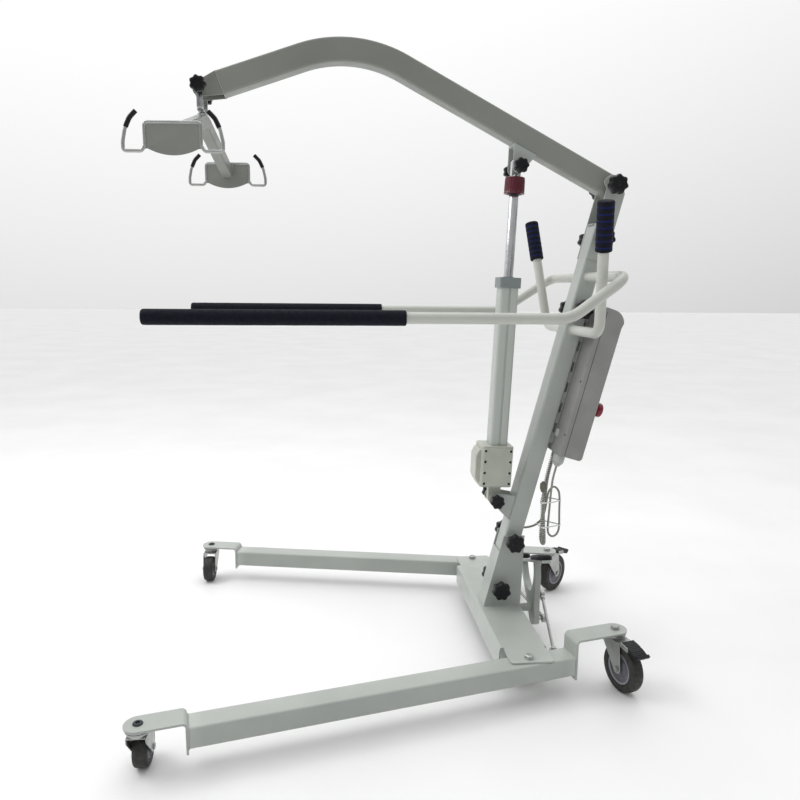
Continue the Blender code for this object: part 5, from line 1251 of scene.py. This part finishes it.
# ---------------------------------------------------------------- control box
def make_control_box():
    outline = [(BOX_FRONT, BOX_BOTTOM), (BOX_FRONT, BOX_TOP - 0.006), (BOX_FRONT + 0.010, BOX_TOP)]
    outline += arc((BOX_REAR - 0.034, BOX_TOP - 0.040), 0.038, 85, 12, 20)
    outline += [(BOX_REAR, BOX_TOP - 0.045)]
    outline += arc((BOX_REAR - 0.010, BOX_BOTTOM + 0.008), 0.010, 0, -90, 10)
    cut = cylinder(COIL_R + 0.0006, BOX_BOTTOM - 0.01, BOX_BOTTOM + 0.016, "Z", (*CORD_INLET, 0.0))
    piece("box_shell", prism(outline, 2 * BOX_HALF_Y), "box_plastic", MAST, "frame", ("control_box",), cuts=[cut],
          bevel=0.0030, steps=4)
    seam = block((BOX_FRONT + 0.0135, -BOX_HALF_Y - 0.0003, BOX_BOTTOM + 0.004),
                 (BOX_FRONT + 0.0147, BOX_HALF_Y + 0.0003, BOX_TOP - 0.012))
    piece("box_seam", seam, "black_plastic", MAST, "frame")
    rail = block((MAST_X / 2 + GAP, -0.022, BOX_BOTTOM + 0.020), (BOX_FRONT + 0.001, 0.022, BOX_TOP - 0.030))
    slots = []
    for number in range(6):
        at = BOX_BOTTOM + 0.050 + number * 0.060
        slots.append(block((MAST_X / 2 + 0.003, -0.03, at), (BOX_FRONT - 0.003, 0.03, at + 0.028)))
    piece("box_rail", rail, "frame_paint", MAST, "frame", cuts=slots, bevel=0.0006)
    for side, sign in SIDES:
        y = sign * (BOX_HALF_Y - 0.006)
        for number, at in enumerate((BOX_BOTTOM + 0.060, (BOX_BOTTOM + BOX_TOP) / 2, BOX_TOP - 0.050)):
            head = turned([(0.0034, 0.0), (0.0034, -0.0006), (0.0026, -0.0013), (0.0012, -0.0013)], 24, "X")
            piece(f"box_screw_{side}_{number}", moved(head, (BOX_FRONT + 0.0004, y, at)), "black_steel", MAST, "frame")
    latch = block((BOX_FRONT - 0.0040, -0.052, BOX_BOTTOM + 0.045), (BOX_FRONT + 0.0005, -0.030, BOX_BOTTOM + 0.066))
    piece("box_latch", latch, "gland_plastic", MAST, "frame", bevel=0.0010, steps=3)
    at = (BOX_REAR, -0.055, 0.573)
    seat = ring_turned([(0.0096, 0.0), (0.0170, 0.0), (0.0160, 0.0022), (0.0096, 0.0026)], 48, "X")
    piece("stop_seat", moved(seat, at), "black_plastic", MAST, "frame", sharp=50.0)
    cap = [
        (0.0085, -0.0170), (0.0085, 0.0075), (0.0115, 0.0100), (0.0165, 0.0130), (0.0194, 0.0165), (0.0200, 0.0200),
        (0.0199, 0.0255), (0.0188, 0.0282), (0.0160, 0.0302), (0.0110, 0.0314), (0.0050, 0.0319), (0.0010, 0.0320),
    ]
    piece("stop_cap", moved(turned(cap, 64, "X"), at), "red_plastic", MAST, "stop_button", ("emergency_stop_button",),
          sharp=50.0)
    place = (GLAND[0], GLAND[1], BOX_BOTTOM - 0.002 - GAP)
    ring = [
        (CABLE_R + 0.0002, -0.0240), (CABLE_R + 0.0002, -0.0340), (0.0060, -0.0340), (0.0076, -0.0325),
        (0.0118, -0.0270), (0.0128, -0.0250), (0.0150, -0.0228), (0.0155, -0.0215), (0.0155, -0.0008), (0.0148, 0.0),
        (CABLE_R + 0.0002, 0.0),
    ]
    piece("gland_body", moved(ring_turned(ring, 56), place), "gland_plastic", MAST, "frame", ("cable_gland",), sharp=45.0)
    for number in range(24):
        a = 2 * math.pi * number / 24
        rib = block((-0.0006, -0.0009, -0.0195), (0.0006, 0.0009, -0.0045))
        spot = (place[0] + 0.0153 * math.cos(a), place[1] + 0.0153 * math.sin(a), place[2])
        piece(f"gland_rib_{number}", moved(rib, spot, turn("Z", math.degrees(a))), "gland_plastic", MAST, "frame",
              bevel=0.0003)
    boot = ring_turned([(0.0028, -0.0200), (0.0042, -0.0200), (0.0062, -0.0040), (0.0092, -0.0012), (0.0092, 0.0030),
                        (0.0028, 0.0030)], 40)
    piece("handset_inlet", moved(boot, (*CORD_INLET, BOX_BOTTOM)), "cable_grey", MAST, "frame", sharp=50.0)


# ---------------------------------------------------------------- cords
def smooth_route(points, per_span=4):
    knots = [Vector(p) for p in points]
    ends = [2 * knots[0] - knots[1]] + knots + [2 * knots[-1] - knots[-2]]
    route = []
    for a, b, c, d in zip(ends, ends[1:], ends[2:], ends[3:]):
        for step in range(per_span):
            t = step / per_span
            route.append(
                0.5 * (2 * b + (c - a) * t + (2 * a - 5 * b + 4 * c - d) * t**2 + (3 * b - a - 3 * c + d) * t**3)
            )
    return route + [knots[-1]]


def route_length(route):
    return sum((b - a).length for a, b in zip(route, route[1:]))


def cord_object(name, route, radius, look):
    """A round cord laid as a curve along its route, turned into a mesh."""
    curve = bpy.data.curves.new(name, "CURVE")
    curve.dimensions = "3D"
    curve.bevel_depth = radius
    curve.bevel_resolution = 4
    curve.use_fill_caps = True
    line = curve.splines.new("POLY")
    line.points.add(len(route) - 1)
    for point, place in zip(line.points, route):
        point.co = (*place, 1.0)
    bent_tube = bpy.data.objects.new(name + "_curve", curve)
    bpy.context.scene.collection.objects.link(bent_tube)
    graph = bpy.context.evaluated_depsgraph_get()
    mesh = bpy.data.meshes.new_from_object(bent_tube.evaluated_get(graph))
    bpy.data.objects.remove(bent_tube, do_unlink=True)
    mesh.name = name
    mesh.materials.clear()
    mesh.materials.append(LOOKS[look])
    obj = add_object(name, mesh)
    finish_surface(obj, sharp=60.0)
    return obj


def coil_route(route, radius, pitch):
    """A helix wound round a route, starting and ending on its middle line."""
    length = route_length(route)
    points = []
    samples = int(length / pitch * 14)
    spans = [(a, b, (b - a).length) for a, b in zip(route, route[1:])]
    tangent = (route[1] - route[0]).normalized()
    side = tangent.cross(Vector((0.0, 1.0, 0.0))).normalized()
    number, passed = 0, 0.0
    for step in range(samples + 1):
        gone = length * step / samples
        while number < len(spans) - 1 and passed + spans[number][2] < gone:
            passed += spans[number][2]
            number += 1
        a, b, span = spans[number]
        centre = a.lerp(b, min(1.0, (gone - passed) / span))
        fresh = (b - a).normalized()
        tangent = tangent.lerp(fresh, 0.5).normalized()
        side = (side - tangent * side.dot(tangent)).normalized()
        other = tangent.cross(side)
        angle = 2 * math.pi * gone / pitch
        ease = min(1.0, gone / 0.020, (length - gone) / 0.020)
        points.append(centre + (side * math.cos(angle) + other * math.sin(angle)) * radius * max(0.0, ease))
    return points


def make_cords():
    gland_x, gland_z = mast_point(GLAND[0], BOX_BOTTOM - 0.027)
    along = Vector(mast_point(0.0, 1.0)) - Vector(mast_point(0.0, 0.0))
    down = (gland_x - along.x * 0.020, GLAND[1], gland_z - along.y * 0.020)
    lean = math.radians(MAST_LEAN)
    face_x = on_line(MAST_X / 2, CABLE_INLET_Z)
    outward = (math.cos(lean), -math.sin(lean))
    outside = (face_x + 0.010 * outward[0], -0.010, CABLE_INLET_Z + 0.010 * outward[1])
    inside = (face_x - 0.010 * outward[0], -0.010, CABLE_INLET_Z - 0.010 * outward[1])
    motor = [(gland_x, GLAND[1], gland_z), down] + MOTOR_WAY + [outside, inside]
    handset = [(PLUG_AT[0], PLUG_AT[1], PLUG_AT[2] - 3 * GAP)] + HANDSET_WAY
    for depth in (-0.010, 0.014):
        x, z = mast_point(CORD_INLET[0], BOX_BOTTOM + depth)
        handset.append((x, CORD_INLET[1], z))
    into_frame = Vector((PIVOT_X, 0.0, 0.0))
    motor_way = [p + into_frame for p in smooth_route(motor)]
    handset_way = [p + into_frame for p in smooth_route(handset)]
    cable = cord_object("motor_cord", motor_way, CABLE_R, "cable_grey")
    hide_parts("motor_cable")
    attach(cable, "frame")
    # a thin dark brown cord along the coil's middle line: painted shadow inside the coil's turns
    coil_shadow = cord_object("handset_coil_shadow", handset_way, 0.0024, "plug_brown")
    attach(coil_shadow, "frame")
    coil = cord_object("handset_coil", coil_route(handset_way, COIL_R - 0.0014, 0.0062), 0.0020, "coil_grey")
    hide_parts("handset_cord")
    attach(coil, "frame")
    profile = [
        (0.0030, -0.0002), (0.0064, 0.0), (0.0068, 0.0018), (0.0072, 0.0060), (0.0085, 0.0074), (0.0092, 0.0090),
        (0.0092, 0.0225), (0.0086, 0.0245), (0.0060, 0.0262), (0.0045, 0.0268), (0.0042, 0.0300),
    ]
    shape = moved(turned(profile, 48), PLUG_AT)
    plug = piece("plug_body", shape, "plug_brown", BASE, "frame", ("handset_plug",), sharp=50.0)
    for number, level in enumerate(CABLE_TIES):
        make_cable_tie(number, level, ((motor_way, CABLE_R), (handset_way, COIL_R + 0.0007)))


def outer_points(points):
    """The outline of a set of points in a plane, as the corners of a taut band round them."""
    points = sorted(points)

    def one_side(ordered):
        kept = []
        for p in ordered:
            while len(kept) > 1:
                (ax, ay), (bx, by) = kept[-2], kept[-1]
                if (bx - ax) * (p[1] - ay) - (by - ay) * (p[0] - ax) > 0:
                    break
                kept.pop()
            kept.append(p)
        return kept[:-1]

    return one_side(points) + one_side(points[::-1])


def make_cable_tie(number, level, cords):
    """A white tie pulled round every run of cord that passes its level."""
    around = []
    for way, radius in cords:
        for a, b in zip(way, way[1:]):
            if (a.z - level) * (b.z - level) < 0:
                at = a.lerp(b, (level - a.z) / (b.z - a.z))
                around += [(at.x + u, at.y + v) for u, v in circle(radius + 0.0003, 24)]
    inner = outer_points(around)
    middle = Vector((sum(p[0] for p in inner), sum(p[1] for p in inner))) / len(inner)
    outer = []
    for p in inner:
        away = (Vector(p) - middle).normalized()
        outer.append((p[0] + away.x * 0.0011, p[1] + away.y * 0.0011))
    count, half = len(inner), 0.0018
    points = []
    for ring, height in ((inner, -half), (outer, -half), (outer, half), (inner, half)):
        points += [(x, y, level + height) for x, y in ring]
    faces = []
    for layer in range(4):
        a, b = layer * count, (layer + 1) % 4 * count
        faces += [(a + k, a + (k + 1) % count, b + (k + 1) % count, b + k) for k in range(count)]
    band = (points, faces)
    piece(f"cable_tie_{number}", band, "tie_white", Matrix.Identity(4), "frame", bevel=0.0003)
    front = min(outer, key=lambda p: p[1])
    low = (front[0] - 0.0028, front[1] - 0.0024, level - 0.0026)
    high = (front[0] + 0.0028, front[1] + 0.0004, level + 0.0026)
    piece(f"cable_tie_lock_{number}", block(low, high), "tie_white", Matrix.Identity(4), "frame", bevel=0.0006)


# ---------------------------------------------------------------- the whole hoist
make_cross_member()
for the_side, the_sign in SIDES:
    make_leg(the_side, the_sign)
    make_tie_rod(the_side, the_sign)
make_socket()
make_pedal()
make_mast()
make_boom()
make_actuator()
make_lower_bracket()
make_spreader()
make_walking_frame()
make_control_box()
make_cords()

# ---------------------------------------------------------------- floor, light and camera
floor_look = Nodes("floor_look")
floor_cloud = floor_look.ramp(floor_look.noise(1.6, 3.0), 0.0, 1.0)
floor_colour = floor_look.mix(floor_cloud, (0.83, 0.83, 0.83), (0.87, 0.87, 0.87))
floor_look.set(Base_Color=floor_colour, Roughness=floor_look.ramp(floor_look.noise(9.0), 0.45, 0.60))
FLOOR_SIZE = 30.0
floor_mesh = bpy.data.meshes.new("studio_floor")
floor_corners = [(x * FLOOR_SIZE, y * FLOOR_SIZE, 0.0) for x, y in ((-1, -1), (1, -1), (1, 1), (-1, 1))]
floor_mesh.from_pydata(floor_corners, [], [(0, 1, 2, 3)])
floor_mesh.materials.append(floor_look.material)
floor_mesh.shade_smooth()
floor = add_object("studio_floor", floor_mesh)


def area_light(name, place, target, size, power, colour=(1.0, 1.0, 1.0)):
    light = bpy.data.lights.new(name, "AREA")
    light.shape = "RECTANGLE"
    light.size, light.size_y = size
    light.energy = power
    light.color = colour
    lamp = bpy.data.objects.new(name, light)
    lamp.location = place
    lamp.rotation_euler = (Vector(target) - Vector(place)).to_track_quat("-Z", "Y").to_euler()
    bpy.context.scene.collection.objects.link(lamp)
    return lamp


MIDDLE = (-0.05, 0.0, 0.75)
area_light("key_light", (-3.2, 0.3, 3.6), MIDDLE, (2.2, 1.6), 58.0)
area_light("top_light", (0.4, 0.8, 3.6), MIDDLE, (3.0, 2.4), 22.0)
area_light("fill_light", (0.6, -4.2, 1.9), MIDDLE, (3.0, 2.4), 4.0)

camera = bpy.data.objects.new("photo_camera", bpy.data.cameras.new("photo_camera"))
camera.data.lens = 31.5
camera.data.sensor_width = 36.0
yaw, pitch, roll = (math.radians(a) for a in (6.708, 9.082, 0.565))
forward = Vector((math.sin(yaw) * math.cos(pitch), math.cos(yaw) * math.cos(pitch), -math.sin(pitch)))
rightward = Vector((math.cos(yaw), -math.sin(yaw), 0.0))
upward = rightward.cross(forward)
tilted_right = rightward * math.cos(roll) + upward * math.sin(roll)
tilted_up = upward * math.cos(roll) - rightward * math.sin(roll)
camera.matrix_world = Matrix.Translation((-0.5208 + PIVOT_X, -1.9195, 1.0259)) @ Matrix(
    (tilted_right, tilted_up, -forward)
).transposed().to_4x4()
bpy.context.scene.collection.objects.link(camera)
bpy.context.scene.camera = camera

world = bpy.data.worlds.new("studio")
world.use_nodes = True
tree = world.node_tree
sky = tree.nodes["Background"]
sky.inputs["Color"].default_value = (1.0, 1.0, 1.0, 1.0)
direction = tree.nodes.new("ShaderNodeTexCoord")
toward_light = tree.nodes.new("ShaderNodeVectorMath")
toward_light.operation = "DOT_PRODUCT"
toward_light.inputs[1].default_value = (-0.10, 0.45, 0.90)
tree.links.new(direction.outputs["Generated"], toward_light.inputs[0])
brightness = tree.nodes.new("ShaderNodeMapRange")
brightness.inputs["From Min"].default_value = -0.35
brightness.inputs["From Max"].default_value = 0.90
brightness.inputs["To Min"].default_value = 0.13
brightness.inputs["To Max"].default_value = 1.18
tree.links.new(toward_light.outputs["Value"], brightness.inputs["Value"])
tree.links.new(brightness.outputs["Result"], sky.inputs["Strength"])
bpy.context.scene.world = world
bpy.context.scene.view_settings.view_transform = "Standard"
